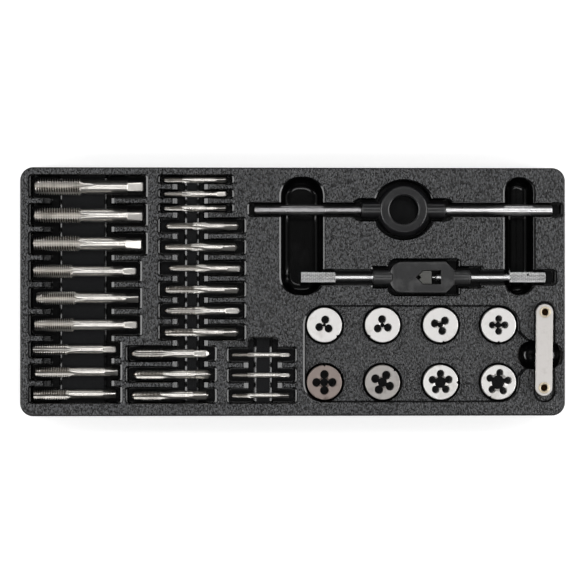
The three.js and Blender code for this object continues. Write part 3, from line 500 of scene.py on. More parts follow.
def dressed(piece, body, node, material, angle=30, weighted=True):
    shade(piece, angle, weighted)
    piece.data.materials.clear()
    piece.data.materials.append(material)
    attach(piece, body)
    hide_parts(node)
    print(piece.name, "faces:", len(piece.data.polygons))


# %% [markdown]
# The plan of the tray, as on its drawing. Taps lie in rows. Each row has a closed slot at both ends, and
# between rows stand fingers with sloped tips. A lower channel with a raised shelf runs across all rows, so
# that a fingertip can press one end of a tap and tip it up.

# %% Plan of the tray
LEFT_RIM, BACK_RIM, FRONT_RIM = 7.8, 5.8, 9.5
WIDE_LAND, NARROW_LAND = 10.6, 5.75
END_ROOM = 3.9
FINGER = 4.2
TROUGH_DROP = 4.0
SEAT_GAP = 0.3
TAP_BELOW_TOP = 0.7
END_DEEPER = 2
FORMS = ("bottoming", "second", "taper")

TAP_FIELDS = ("thread", "pitch", "length", "threaded", "runout", "shank", "square", "square_length", "flutes",
              "point", "row", "rolls")
TAP_TABLE = {
    "m12": (12, 1.75, 78.0, 32.0, 22.0, 9, 7.0, 11.7, 4, 0.0, 20.4, (0, 20, 12)),
    "m10": (10, 1.5, 73.8, 27.0, 20.0, 7, 5.5, 9.6, 4, 0.0, 19.3, (0, 30, 0)),
    "m8": (8, 1.25, 59.6, 24.0, 16.0, 6, 4.9, 9.7, 3, 0.0, 16.1, (0, 25, 35)),
    "m7": (7, 1.0, 58.2, 22.0, 14.0, 6, 4.9, 9.3, 3, 3.4, 15.0, (0, 40, 35)),
    "m6": (6, 1.0, 56.2, 22.0, 12.0, 6, 4.9, 9.3, 3, 2.9, 15.4, (30, 0, 40)),
    "m5": (5, 0.8, 54.2, 20.0, 12.0, 6, 4.9, 9.3, 3, 2.5, 15.2, (35, 30, 20)),
    "m4": (4, 0.7, 47.4, 14.0, 10.0, 4.5, 3.4, 6.6, 3, 2.0, 10.2, (40, 0, 45)),
    "m3": (3, 0.5, 43.3, 12.0, 8.0, 3.5, 2.7, 6.2, 3, 1.5, 14.6, (0, 0, 40)),
}
TAPS = {size: dict(zip(TAP_FIELDS, facts)) for size, facts in TAP_TABLE.items()}


def bay_length(size):
    return TAPS[size]["length"] + END_ROOM


def rows_of(sizes, back_wall):
    """The rows of one bay, from its back wall forwards."""
    rows, edge = [], back_wall
    for size in sizes:
        for form in FORMS:
            slot = TAPS[size]["row"] - FINGER
            rows.append({"size": size, "form": form, "back": edge, "front": edge - slot})
            edge -= TAPS[size]["row"]
    return rows


LEFT, FRONT, TOP = tray_low.x, tray_low.y, tray_high.z
RIGHT, BACK = tray_high.x, tray_high.y
main_x = LEFT + LEFT_RIM
mid_x = main_x + bay_length("m12") + WIDE_LAND
seven_x = main_x + bay_length("m8") + NARROW_LAND
end_x = seven_x + bay_length("m7") + WIDE_LAND
MAIN_PLAN = {"finger": 14.1, "left_tip": 6.6, "shelf": (19.8, 53.6), "channel_to": 57.4, "right_tip": 3.0}
MID_PLAN = {"finger": 12.4, "left_tip": 4.9, "shelf": (17.6, 27.8), "channel_to": 31.4, "right_tip": 3.9}
END_PLAN = {"finger": 14, "left_tip": 4.7, "shelf": (18.3, 30.9), "channel_to": 34.8, "right_tip": 4.6}


def new_bay(x, plan_x, plan, widest, rows, deeper=0):
    """A bay: where it and its plan start, how deep its shelf lies for its widest tap, and its rows."""
    depth = TAPS[widest]["thread"] + SEAT_GAP + TAP_BELOW_TOP + deeper
    return {"x": x, "plan_x": plan_x, "plan": plan, "depth": depth, "rows": rows}


def front_rows(size):
    return rows_of([size], FRONT + FRONT_RIM + TAPS[size]["row"] * 3 - FINGER)


BAYS = {
    "main": new_bay(main_x, main_x, MAIN_PLAN, "m12", rows_of(["m12", "m10", "m8"], BACK - BACK_RIM)),
    "mid": new_bay(mid_x, mid_x, MID_PLAN, "m7", rows_of(["m4", "m5", "m6"], BACK - BACK_RIM)),
    "seven": new_bay(seven_x, mid_x, MID_PLAN, "m7", front_rows("m7")),
    "end": new_bay(end_x, end_x, END_PLAN, "m3", front_rows("m3"), END_DEEPER),
}


def wall_of(bay, size):
    return bay["x"] + bay_length("m6" if size == "m5" else size)


# %% [markdown]
# A core is a list of levels: how far its walls have opened there, to the left and right and to the front
# and back, and how deep. Its mouth is a soft chamfer, and the foot of its walls is a quarter round.

# %% Pocket cores
MOUTH = (1.9, 0.5, 1.3)
MOUTH_SHAPE = [(1.0, 0.0), (0.9, 0.015), (0.8, 0.07), (0.16, 0.57), (0.04, 0.76), (0.0, 1.0)]
FOOT_ROUND = 0.5
BAY_CORNER = 1.8


def opened(outline, across, along):
    """An outline grown by one distance to the left and right and by another to the front and back."""
    return np.column_stack([grown(outline, across)[:, 0], grown(outline, along)[:, 1]])


def mouth_levels(mouth):
    """A soft chamfer at a mouth: how far it opens both ways, and how deep it is there.

    On the left and right it slopes enough to mirror a low soft box. In front and behind it is narrow.
    """
    across, along, drop = mouth
    levels = [(DRAFT + across, DRAFT + along, -OVERRUN)]
    return levels + [(DRAFT + across * out, DRAFT + along * out, drop * down) for out, down in MOUTH_SHAPE]


def levels_core(name, outline, levels):
    return loft(name, [at_height(opened(outline, wide, long), TOP - down) for wide, long, down in levels])


def pocket_core(name, outline, depth, mouth):
    """A pocket whose outline is given at its floor."""
    levels = mouth_levels(mouth)
    for turn in np.linspace(0, math.pi / 2, ROUND_STEPS + 1):
        inset = -FOOT_ROUND * (1 - math.cos(turn))
        levels.append((inset, inset, depth - FOOT_ROUND * (1 - math.sin(turn))))
    return levels_core(name, outline, levels)


def box_core(name, box, top, depth, mouths, foot=0.6, lean=DRAFT):
    """A box with its own round at its left end, its right end and its sides."""
    x0, y0, x1, y1 = box
    left, right, sides, drop = mouths
    rings = []
    start = [(left, right, sides, -OVERRUN)]
    start += [(left * out, right * out, sides * out, drop * down) for out, down in MOUTH_SHAPE]
    for open_left, open_right, open_sides, down in start:
        draft = lean * (1 - max(down, 0) / depth)
        radius = BAY_CORNER + (left + right) / 2 * (1 if down <= 0 else 0.5)
        rings.append(at_height(rounded(x0 - open_left - draft, y0 - open_sides - draft,
                                       x1 + open_right + draft, y1 + open_sides + draft, radius), top - down))
    for turn in np.linspace(0, math.pi / 2, ROUND_STEPS):
        inset = foot * (1 - math.cos(turn))
        rings.append(at_height(rounded(x0 + inset, y0 + inset, x1 - inset, y1 - inset, BAY_CORNER),
                               top - depth + foot * (1 - math.sin(turn))))
    return loft(name, rings)


SLOT_MOUTH, SLOT_SIDE, SLOT_DROP = MOUTH
SHELF_ROUND, SHELF_DROP = 2.0, 1.3


def slot_cores(bay, row):
    """The two slots of a row run from their closed ends into the troughs."""
    plan, from_x = bay["plan"], bay["plan_x"]
    depth = bay["depth"] + TROUGH_DROP
    left_to = from_x + (plan["finger"] + plan["shelf"][0]) / 2
    right_from = from_x + (plan["shelf"][1] + plan["channel_to"]) / 2
    name = f"slot_{row['size']}_{row['form']}"
    return [
        box_core(name + "_left", (bay["x"], row["front"], left_to, row["back"]), TOP, depth,
                 (SLOT_MOUTH, 0, SLOT_SIDE, SLOT_DROP)),
        box_core(name + "_right", (right_from, row["front"], wall_of(bay, row["size"]), row["back"]), TOP,
                 depth, (0, SLOT_MOUTH, SLOT_SIDE, SLOT_DROP)),
    ]


def channel_cores(name, bay, y0, y1):
    """The channel over the shelf, and a trough on each side of the shelf."""
    plan, x = bay["plan"], bay["plan_x"]
    finger, (shelf_from, shelf_to), channel_to = plan["finger"], plan["shelf"], plan["channel_to"]
    shelf_top = TOP - bay["depth"]
    return [
        box_core(name, (x + finger, y0, x + channel_to, y1), TOP, bay["depth"], (0, 0, SLOT_SIDE, 0.8), 0.02),
        box_core(name + "_left", (x + finger, y0, x + shelf_from, y1), shelf_top, TROUGH_DROP,
                 (0, SHELF_ROUND, 0, SHELF_DROP), lean=0),
        box_core(name + "_right", (x + shelf_to, y0, x + channel_to, y1), shelf_top, TROUGH_DROP,
                 (SHELF_ROUND, 0, 0, SHELF_DROP), lean=0),
    ]


TIP_SLOPE = 0.56
FINGER_DIP, FINGER_DIP_LENGTH = 0.55, 1.3


def tip_cores(name, bay, y0, y1):
    """Wedges that let a finger sink a little and then slope, so that its tip mirrors a low soft box."""
    plan, x = bay["plan"], bay["plan_x"]
    cores = []
    for label, tip, run in (("left", x + plan["finger"], plan["left_tip"]),
                            ("right", x + plan["channel_to"], -plan["right_tip"])):
        start, end = tip - run, tip + math.copysign(OVERRUN, run)
        drop = abs(end - start) * TIP_SLOPE
        root = start - run * FINGER_DIP_LENGTH
        slope = [(root, TOP + 0.02)] + [
            (start + (end - start) * t, TOP - FINGER_DIP - drop * fall)
            for t, fall in ((0, 0), (0.07, 0.012), (0.14, 0.05), (0.24, 0.13), (1, 0.9))]
        profile = slope + [(end, TOP + OVERRUN), (root, TOP + OVERRUN)]
        if end < start:
            profile = profile[::-1]
        rings = [np.array([(px, y, pz) for px, pz in profile]) for y in (y0, y1)]
        cores.append(loft(f"{name}_{label}", rings))
    return cores


# %% [markdown]
# The other pockets follow the tools that lie in them: a long lane for the die stock with a round well for
# its ring, a lane for the tap wrench, two deep finger scoops across both lanes, and a sunken panel with
# eight round pockets for the dies.

# %% Places of the tools
STOCK = Vector((79.5, 59.025, 29))
WRENCH = Vector((93.6, 10.425, 29))
GAUGE = Vector((180.5, -41.875, 33.5))
GAUGE_TURN = -0.75
GAUGE_POCKET = (181.1, -43.275, 7.05, 35.7)
DIE_PLACES = {"m7": (0, 0), "m8": (1, 0), "m10": (2, 0), "m12": (3, 0),
              "m3": (0, 1), "m4": (1, 1), "m5": (2, 1), "m6": (3, 1)}
DIE_FIRST = (22.25, -65.225)
DIE_PITCH = (41.9, 41.25)
DIE_RADIUS = 12.55
DIE_BOTTOM = 26.0
DIE_ROOM = 0.5
PANEL_MARGIN, PANEL_DEPTH = 13.6, 3.0
DIE_POCKET_DEPTH = 9.3


def die_place(size):
    column, row = DIE_PLACES[size]
    return DIE_FIRST[0] + column * DIE_PITCH[0], DIE_FIRST[1] + row * DIE_PITCH[1]


# %% Pockets for the stock, the wrench, the dies and the gauge
def wrench_point(x, y):
    return WRENCH.x + x, WRENCH.y + y


def lane(x0, x1, y, half, corner=2.5):
    return rounded(x0, y - half, x1, y + half, corner)


def stock_outlines():
    x, y = STOCK.x, STOCK.y
    flare = [(-35.8, -4.8), (-32, -7.75), (31.5, -7.75), (34.5, -4.8),
             (34.5, 4.8), (31.5, 7.75), (-32, 7.75), (-35.8, 4.8)]
    return {
        "stock_lane_left": (lane(x - 111, x, y, 4.8), 10.3),
        "stock_lane_right": (lane(x, x + 113.5, y, 4.8), 10.3),
        "stock_flare": (softened([(x + px, y + py) for px, py in flare], 1.5), 12.3),
        "stock_well": (circle(x, y, 21.3, 96), 13.3),
    }


def wrench_outlines():
    body = [(-25.5, -7.5), (-21.5, -12.9), (25.2, -12.9), (25.2, 12.9), (-21.5, 12.9), (-25.5, 7.5)]
    return {
        "wrench_body": (softened([wrench_point(*p) for p in body], 2.2), 12.3),
        "wrench_collar_left": (lane(WRENCH.x - 36.1, WRENCH.x, WRENCH.y, 7.5, 0.8), 11.7),
        "wrench_collar_right": (lane(WRENCH.x, WRENCH.x + 41.7, WRENCH.y, 7.5, 0.8), 11.7),
        "wrench_lane_left": (lane(WRENCH.x - 88, WRENCH.x, WRENCH.y, 5.4, 0.8), 10.1),
        "wrench_lane_right": (lane(WRENCH.x, WRENCH.x + 94.7, WRENCH.y, 5.4), 10.1),
    }


def panel_outlines():
    last = DIE_FIRST[0] + 3 * DIE_PITCH[0]
    x0, y0 = DIE_FIRST[0] - PANEL_MARGIN, DIE_FIRST[1] - PANEL_MARGIN
    x1, y1 = last + PANEL_MARGIN, DIE_FIRST[1] + DIE_PITCH[1] + PANEL_MARGIN
    funnel = [(last, y0 + 8), (last + 12.2, y0 + 12), (last + 13.5, FRONT + 28), (last + 18, FRONT + 34),
              (last + 25, FRONT + 35.5), (last + 25, FRONT + 53.5), (last + 20.5, FRONT + 54.5),
              (last + 14.5, FRONT + 60), (last + 12.5, FRONT + 64), (last, FRONT + 66.4)]
    x, y, half_x, half_y = GAUGE_POCKET
    return {
        "die_panel": (rounded(x0, y0, x1, y1, PANEL_MARGIN, 12), PANEL_DEPTH),
        "funnel": (softened(funnel, 3.5), PANEL_DEPTH),
        "gauge_pocket": (rounded(x - half_x, y - half_y, x + half_x, y + half_y, half_x, 12), 1.8),
    }


SCOOP_SWEEP = 0.94
scoop_y = (WRENCH.y - 12.3, STOCK.y + 22.9)
SCOOPS = {
    "left_scoop": (rounded(-8.5, scoop_y[0], 20.9, scoop_y[1], 13, 10), 22, 9),
    "right_scoop": (rounded(153.1, scoop_y[0], 172.7, scoop_y[1], 9.7, 10), 20, 8),
    "gauge_scoop": (rounded(163.3, FRONT + 34.2, 192.6, FRONT + 53.2, 9.4, 10), 14, 8.6),
}
print("scoops span, mm:", scoop_y)


def scoop_levels(depth, sweep_radius, steps=8):
    """Openings and depths of a scoop whose wall curves into its floor."""
    turns = np.linspace(0, math.pi / 2 * SCOOP_SWEEP, steps)
    return [(-sweep_radius * (1 - math.cos(turn)), depth - sweep_radius * (1 - math.sin(turn)))
            for turn in turns]


def scoop_core(name, outline, depth, sweep_radius, sunk=0.0):
    levels = [(wide, long, down + sunk * (down >= 0)) for wide, long, down in mouth_levels(MOUTH)]
    levels += [(opening, opening, down) for opening, down in scoop_levels(depth, sweep_radius)]
    return levels_core(name, outline, levels)


# %% [markdown]
# The underside is hollow. Its core is the block's inside, from which a shell round every pocket is kept,
# so that the walls are about two millimetres thick everywhere, as in a real moulding.


# %% Shells under the pockets
def shell(name, outline, depth):
    """A pocket's outside, one skin larger."""
    return loft(name, [at_height(grown(outline, SKIN + DRAFT), TOP),
                       at_height(grown(outline, SKIN), TOP - depth - SKIN)])


def scoop_shell(name, outline, depth, sweep_radius):
    levels = scoop_levels(depth, sweep_radius, 5)
    rings = [at_height(grown(outline, SKIN + DRAFT), TOP)]
    rings += [at_height(grown(outline, SKIN + opening), TOP - down - SKIN) for opening, down in levels]
    return loft(name, rings)


def bay_shells(key, bay, tail=0.0):
    depth = bay["depth"] + TROUGH_DROP
    rows = bay["rows"]
    shells = []
    for wall in sorted({wall_of(bay, row["size"]) for row in rows}):
        mine = [row for row in rows if wall_of(bay, row["size"]) == wall]
        outline = rounded(bay["x"], mine[-1]["front"], wall, mine[0]["back"], BAY_CORNER)
        shells.append(shell(f"{key}_{wall:.0f}", outline, depth))
    plan, x = bay["plan"], bay["plan_x"]
    under_finger = FINGER if key.endswith("mid") else 0
    outline = rounded(x + plan["finger"], rows[-1]["front"] - under_finger, x + plan["channel_to"],
                      rows[0]["back"] + tail, BAY_CORNER)
    shells.append(shell(f"{key}_channel", outline, depth))
    return shells


# %% The tray
EDGE_ROUND = 1.2
CORNER = 9.5
END_TAIL = 7.0

plain_pockets = {**stock_outlines(), **wrench_outlines(), **panel_outlines()}
edge = rounded(LEFT, FRONT, RIGHT, BACK, CORNER, 12)


def tray_block():
    rings = [at_height(grown(edge, -EDGE_ROUND * (1 - math.cos(t))), TOP - EDGE_ROUND * (1 - math.sin(t)))
             for t in np.linspace(math.pi / 2, 0, 5)]
    rings.append(at_height(edge, 0))
    return loft("dressed_tray", rings)


def hollow():
    """The space inside the walls and under the pockets."""
    inner = grown(edge, -SKIN)
    core = loft("hollow", [at_height(inner, TOP - SKIN), at_height(inner, -OVERRUN)])
    shells = [shell(f"shell_{name}", outline, depth) for name, (outline, depth) in plain_pockets.items()]
    shells += [scoop_shell(f"shell_{name}", *facts) for name, facts in SCOOPS.items()]
    shells += [shell(f"shell_die_{size}", circle(*die_place(size), DIE_RADIUS + DIE_ROOM, 32), DIE_POCKET_DEPTH)
               for size in DIE_PLACES]
    for key, bay in BAYS.items():
        shells += bay_shells(f"shell_{key}", bay, END_TAIL if key == "end" else 0)
    return cut(core, shells)


def tray_cores():
    cores = []
    for bay in BAYS.values():
        for row in bay["rows"]:
            cores += slot_cores(bay, row)
    spans = {key: (bay["rows"][-1]["front"], bay["rows"][0]["back"]) for key, bay in BAYS.items()}
    ends = {"main": spans["main"], "mid": (spans["seven"][0], spans["mid"][1]), "end": spans["end"]}
    for key, (y0, y1) in ends.items():
        cores += channel_cores(f"channel_{key}", BAYS[key], y0, y1 + (END_TAIL if key == "end" else 0))
        cores += tip_cores(f"tips_{key}", BAYS[key], y0, y1)
    mouths = {"gauge_pocket": (0.7, 0.5, 0.7)}
    for name, (outline, depth) in plain_pockets.items():
        cores.append(pocket_core(name, outline, depth, mouths.get(name, MOUTH)))
    for size in DIE_PLACES:
        core = pocket_core(f"die_pocket_{size}", circle(*die_place(size), DIE_RADIUS + DIE_ROOM, 72),
                           DIE_POCKET_DEPTH - PANEL_DEPTH, (1.0, 0.8, 3))
        for vertex in core.data.vertices:
            vertex.co.z -= PANEL_DEPTH * MM
        cores.append(core)
    cores += [scoop_core(name, *facts, PANEL_DEPTH if name == "gauge_scoop" else 0.0)
              for name, facts in SCOOPS.items()]
    return cores


tray = cut(tray_block(), [hollow(), *tray_cores()])
dressed(tray, "tray", "tray", plastic, 28)

# %% [markdown]
# A hand tap is all rule: a helical thread on a tapered lead, three or four flutes that run out into a
# shank, ring marks that tell the three taps of a set apart, and a square. So one Geometry Nodes tree makes
# all 24. It starts from a flat grid, four rows to each thread pitch, and rolls it up: a row is moved along
# the axis as it goes round, which makes the helix, and rows on the crest and in the root take turns.
# Columns are bunched so that one always lies on a flute's edge, and on a corner of the square.

# %% Ramps and choices for the tap's rule
SHANK_ROWS = 23
LAND_COLUMNS = 5
LAND_SHARE = 0.4
LAND_TURN = 30.0
SEAM_REACH = 0.004


def ramp(value, start, end):
    """0 before start, 1 after end, straight between."""
    return ((value - start) / (end - start)).clamped()


def choice(switch, yes, no):
    """yes where switch is 1, no where it is 0."""
    return no + (yes - no) * switch


def constant(tree, number):
    node = tree.nodes.new("ShaderNodeValue")
    node.outputs[0].default_value = number
    return Value(tree, node.outputs[0])


def close_up(tree, mesh, x, y, z, marks, material):
    """Moves the grid's points, stores the marks, closes the seam and the ends, and ends the tree."""
    spot = add_node(tree, "ShaderNodeCombineXYZ", X=x, Y=y, Z=z)
    moved = add_node(tree, "GeometryNodeSetPosition", Geometry=mesh, Position=Value(tree, spot.outputs[0]))
    shape = Value(tree, moved.outputs[0])
    for title, value in marks.items():
        store = add_node(tree, "GeometryNodeStoreNamedAttribute", {"data_type": "FLOAT", "domain": "POINT"},
                         Geometry=shape, Value=value)
        store.inputs["Name"].default_value = title
        shape = Value(tree, store.outputs[0])
    merged = add_node(tree, "GeometryNodeMergeByDistance", Geometry=shape, Distance=SEAM_REACH)
    flipped = add_node(tree, "GeometryNodeFlipFaces", Mesh=Value(tree, merged.outputs[0]))
    real = add_node(tree, "GeometryNodeRealizeInstances", Geometry=Value(tree, flipped.outputs[0]))
    finished = add_node(tree, "GeometryNodeSetMaterial", Geometry=Value(tree, real.outputs[0]),
                        Material=material)
    finish_tree(tree, "NodeSocketGeometry", {"Piece": Value(tree, finished.outputs[0])})


def rolled_grid(tree, rows, columns):
    """A grid to roll up: its mesh, and each point's row, column and share of a turn."""
    grid = add_node(tree, "GeometryNodeMeshGrid", Vertices_X=rows, Vertices_Y=columns + 1)
    index = Value(tree, add_node(tree, "GeometryNodeInputIndex").outputs[0])
    row = ((index + 0.25) / (columns + 1)).math("FLOOR")
    column = index - row * (columns + 1)
    return Value(tree, grid.outputs["Mesh"]), row, column, column / columns


# %% The hand tap's tree
TAP_INPUTS = [
    ("Length", FLOAT, 78.0), ("Thread radius", FLOAT, 6.0), ("Pitch", FLOAT, 1.75), ("Threaded", FLOAT, 32.0),
    ("Run out", FLOAT, 22.0), ("Lead", FLOAT, 7.0), ("Tip radius", FLOAT, 4.8), ("Core radius", FLOAT, 3.2),
    ("Flutes", INT, 4), ("Columns", INT, 56), ("Shank radius", FLOAT, 4.5), ("Square", FLOAT, 7.0),
    ("Square from", FLOAT, 66.3), ("Point", FLOAT, 0.0), ("Rings", INT, 0),
    ("Material", "NodeSocketMaterial", None),
]
NECK = 1.6
THREAD_HEIGHT = 0.56
RING_BACK = 5.6
RING_WIDTH = 0.5
RING_DEPTH = 0.22
RING_SLOPE = 0.12
RING_GAP = 1.1
SQUARE_STEP = 0.6
END_CHAMFER = 0.7
NOSE_CHAMFER = 0.5


def tap_angles(tree, given, column, share, after):
    """Where a column stands round the tap, and how far along its flute period that is."""
    flutes = given["Flutes"]
    turns = share * flutes
    count = turns.math("FLOOR")
    part = turns - count
    land = flutes * LAND_COLUMNS / given["Columns"]
    on_land = (part / land).smaller(1.0) * LAND_SHARE
    bunched = on_land + (part - land).larger(0.0) / (1 - land) * (1 - LAND_SHARE)
    step = constant(tree, 360.0) / flutes
    bunched_angle = (count + bunched - LAND_SHARE / 2) * step + LAND_TURN
    even_angle = (count + part - land / 2) * step + LAND_TURN
    eased = bunched_angle + (even_angle - bunched_angle) * ramp(after, 1, 9)
    corner = ((land / 2 * step + (45.0 - LAND_TURN)) / 360.0 * given["Columns"]).math("ROUND")
    half = given["Columns"] / 8
    sector = (column - corner) / (given["Columns"] / 4)
    side = (sector - sector.math("FLOOR") - 0.5) * 2.0
    flat = (given["Square"] / 2 / given["Shank radius"]).math("ARCCOSINE").math("DEGREES")
    away = side.math("ABSOLUTE") * half
    spread = away.smaller(half - 1) / (half - 1) * flat + (away - half + 1).larger(0.0) * (45 - flat)
    square_angle = (sector.math("FLOOR") + 0.5) * 90.0 + 45.0 + spread * side.math("SIGN")
    angle = eased + (square_angle - eased) * ramp(after, 17, 18)
    place = (angle - LAND_TURN) / step + LAND_SHARE / 2
    return angle, place - place.math("FLOOR")


def shank_rows(given, after):
    """Distance along the tap, body radius and squareness of the rows behind the thread."""
    threaded, shank = given["Threaded"], given["Shank radius"]
    square_from = given["Square from"]
    ring_from = square_from - RING_BACK
    ring_span = 2 * RING_SLOPE + RING_WIDTH
    pointed = given["Point"].above(0.01)
    tail = choice(pointed, given["Point"], END_CHAMFER)
    first_tail = choice(pointed, given["Point"] * 0.5, END_CHAMFER)
    spans = [
        (0, 1, NECK), (1, 9, given["Run out"] - NECK), (9, 10, ring_from - threaded - given["Run out"]),
        (10, 11, RING_SLOPE), (11, 12, RING_WIDTH), (12, 13, RING_SLOPE), (13, 14, RING_GAP),
        (14, 15, RING_SLOPE), (15, 16, RING_WIDTH), (16, 17, RING_SLOPE),
        (17, 18, square_from - ring_from - (2 * ring_span + RING_GAP)), (18, 19, SQUARE_STEP),
        (19, 20, given["Length"] - tail - square_from - SQUARE_STEP),
        (20, 21, first_tail), (21, 22, tail - first_tail),
    ]
    along = threaded
    for start, end, span in spans:
        along = along + ramp(after, start, end) * span
    first_ring = ramp(after, 10, 11) - ramp(after, 12, 13)
    second_ring = ramp(after, 14, 15) - ramp(after, 16, 17)
    groove = first_ring * given["Rings"].above(0.5) + second_ring * given["Rings"].above(1.5)
    body = given["Thread radius"] + (shank - given["Thread radius"]) * ramp(after, 0, 1) - groove * RING_DEPTH
    end_share = choice(pointed, 0.5, 0.82)
    shrink = ramp(after, 20, 21) * (1 - end_share) + ramp(after, 21, 22) * end_share
    return along, body * (1 - shrink), ramp(after, 18, 19)


def make_tap_tree():
    tree, given = new_tree("hand tap", "GeometryNodeTree", TAP_INPUTS)
    pitch, radius, threaded = given["Pitch"], given["Thread radius"], given["Threaded"]
    start = given["Point"].larger(NOSE_CHAMFER)
    thread_rows = ((threaded - start) / pitch).math("CEIL") * 4.0 + 5.0
    mesh, row, column, share = rolled_grid(tree, thread_rows + 2.0 + SHANK_ROWS, given["Columns"])
    after = row - thread_rows - 2.0
    angle, place = tap_angles(tree, given, column, share, after)

    number = row - 2.0
    pitches = (number / 4.0 + 0.01).math("FLOOR")
    quarter = number - pitches * 4.0
    phase = quarter.above(0.5) * 0.125 + quarter.above(1.5) * 0.3125 + quarter.above(2.5) * 0.25
    raw = start + pitch * (pitches + phase + angle / 360.0 - 1.0)
    root = radius - pitch * THREAD_HEIGHT
    profile = choice(quarter.above(1.5), root, radius)
    cone = given["Tip radius"] + (radius - given["Tip radius"]) * ((raw - start) / (given["Lead"] - start))
    thread = choice(raw.above(start), choice(raw.below(threaded), profile.smaller(cone), radius),
                    given["Tip radius"])
    along = raw.larger(start).smaller(threaded)

    nose = row.below(1.5)
    tip = row.below(0.5)
    pointed = given["Point"].above(0.01)
    nose_share = choice(pointed, 0.5, 0.86)
    thread = choice(nose, given["Tip radius"] * nose_share * (1 - tip), thread)
    along = choice(nose, given["Point"] * 0.5 * (1 - tip), along)

    behind = after.above(-0.5)
    shank_along, shank_body, squareness = shank_rows(given, after)
    along = choice(behind, shank_along, along)
    body = choice(behind, shank_body, thread)

    half_flute = (1 - LAND_SHARE) / 2
    across = (place - LAND_SHARE - half_flute).math("ABSOLUTE") / half_flute
    outer = radius.larger(given["Shank radius"])
    rising = ((along - threaded) / given["Run out"]).larger(0.0) * 1.08
    flute = given["Core radius"] + (outer - given["Core radius"]) * (across * across + rising)
    radians = angle.math("RADIANS")
    cosine, sine = radians.math("COSINE"), radians.math("SINE")
    widest = cosine.math("ABSOLUTE").larger(sine.math("ABSOLUTE"))
    flat = (given["Square"] / 2 / given["Shank radius"] / widest).smaller(1.0)
    fluted = body.smaller(flute)
    reach = fluted * (squareness * (flat - 1.0) + 1.0)

    in_flute = (body - flute).above(0.001)
    # root_zone marks the thread roots, where the steel material paints shade.
    marks = {"thread_zone": ramp(along * -1.0, (threaded + 1.0) * -1.0, threaded * -1.0),
             "flute_zone": in_flute, "root_zone": (1 - behind) * quarter.above(1.5)}
    close_up(tree, mesh, along, reach * cosine, reach * sine, marks, given["Material"])
    return tree


tap_tree = make_tap_tree()


# %% Meshes from a tree
def built(tree, name, **inputs):
    """Runs a Geometry Nodes tree, which works in millimetres, and keeps its result as a plain mesh."""
    holder = bpy.data.objects.new(name, bpy.data.meshes.new(name))
    bpy.context.scene.collection.objects.link(holder)
    modifier = holder.modifiers.new("rule", "NODES")
    modifier.node_group = tree
    sockets = {item.name: item.identifier for item in tree.interface.items_tree if item.in_out == "INPUT"}
    for title, value in inputs.items():
        modifier[sockets[title.replace("_", " ")]] = value
    graph = bpy.context.evaluated_depsgraph_get()
    mesh = bpy.data.meshes.new_from_object(holder.evaluated_get(graph))
    mesh.transform(Matrix.Scale(MM, 4))
    holder.modifiers.clear()
    holder.data = mesh
    return holder


def placed(piece, place, turn=0.0, axis="Z"):
    """Moves a mesh that was made at the origin to its place in the tray."""
    piece.data.transform(Matrix.Translation(Vector(place) * MM)
                         @ Matrix.Rotation(math.radians(turn), 4, axis))
    return piece


# %% [markdown]
# Ground steel is bright but not a mirror: fine grinding lines round the shank, a warm tint of oil and
# handling, and darker threads, with painted shade in their roots, where the light can't reach, and a tint of
# oil over the thread. The tap's tree has marked its thread, its flutes and its thread roots, and the
# material reads those marks.


# %% Steel
def attribute(tree, title):
    node = add_node(tree, "ShaderNodeAttribute", {"attribute_name": title})
    return Value(tree, node.outputs["Fac"])


def make_steel(name, bright, dull, roughness, threads=False, lines=90.0, wear=0.3):
    material, tree, shader = new_material(name, 1.0)
    grain = placed_group(tree, grinding, Lines_per_metre=lines)
    marks = placed_group(tree, smudges, Patches_per_metre=70.0, Threshold=0.53)
    dulling_and_shade = (marks["Amount"] * wear + grain["Tone"] * 0.5).clamped()
    rough = marks["Amount"] * 0.1 + grain["Tone"] * 0.16 + roughness
    if threads:
        zone, flute, root = (attribute(tree, mark) for mark in ("thread_zone", "flute_zone", "root_zone"))
        # Painted shade: thread roots and knurl grooves go dark, and the whole thread a little darker as a tint
        # of oil.
        shade = zone * 0.14 + zone * root * 0.9
        dulling_and_shade = (dulling_and_shade + shade * (flute * -0.8 + 1.0) + flute * 0.12).clamped()
        rough = rough + zone * 0.05
    put(tree, mixed(tree, dulling_and_shade, bright, dull), shader["Base Color"])
    put(tree, rough.clamped(0.05, 0.9), shader["Roughness"])
    put(tree, bumped(tree, grain["Height"], 0.25, 0.1 * MM), shader["Normal"])
    return material


tap_steel = make_steel("ground steel", (0.9, 0.87, 0.82), (0.12, 0.1, 0.08), 0.31, threads=True)

# %% Taps
TAP_CORE_SHARE = 0.5
TAP_TIP_SHARE = 0.8
LEAD_PITCHES = {"bottoming": 2, "second": 4, "taper": 7}
RINGS = {"bottoming": 0, "second": 2, "taper": 1}


def tap_place(bay, row):
    """The CAD gives each tap's place along its slot; its height follows from the shelf."""
    low, high = (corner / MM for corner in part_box(f"tap_{row['size']}_{row['form']}"))
    size = TAPS[row["size"]]
    widest = max(size["thread"], size["shank"])
    return low.x, (row["front"] + row["back"]) / 2, TOP - bay["depth"] + SEAT_GAP + widest / 2


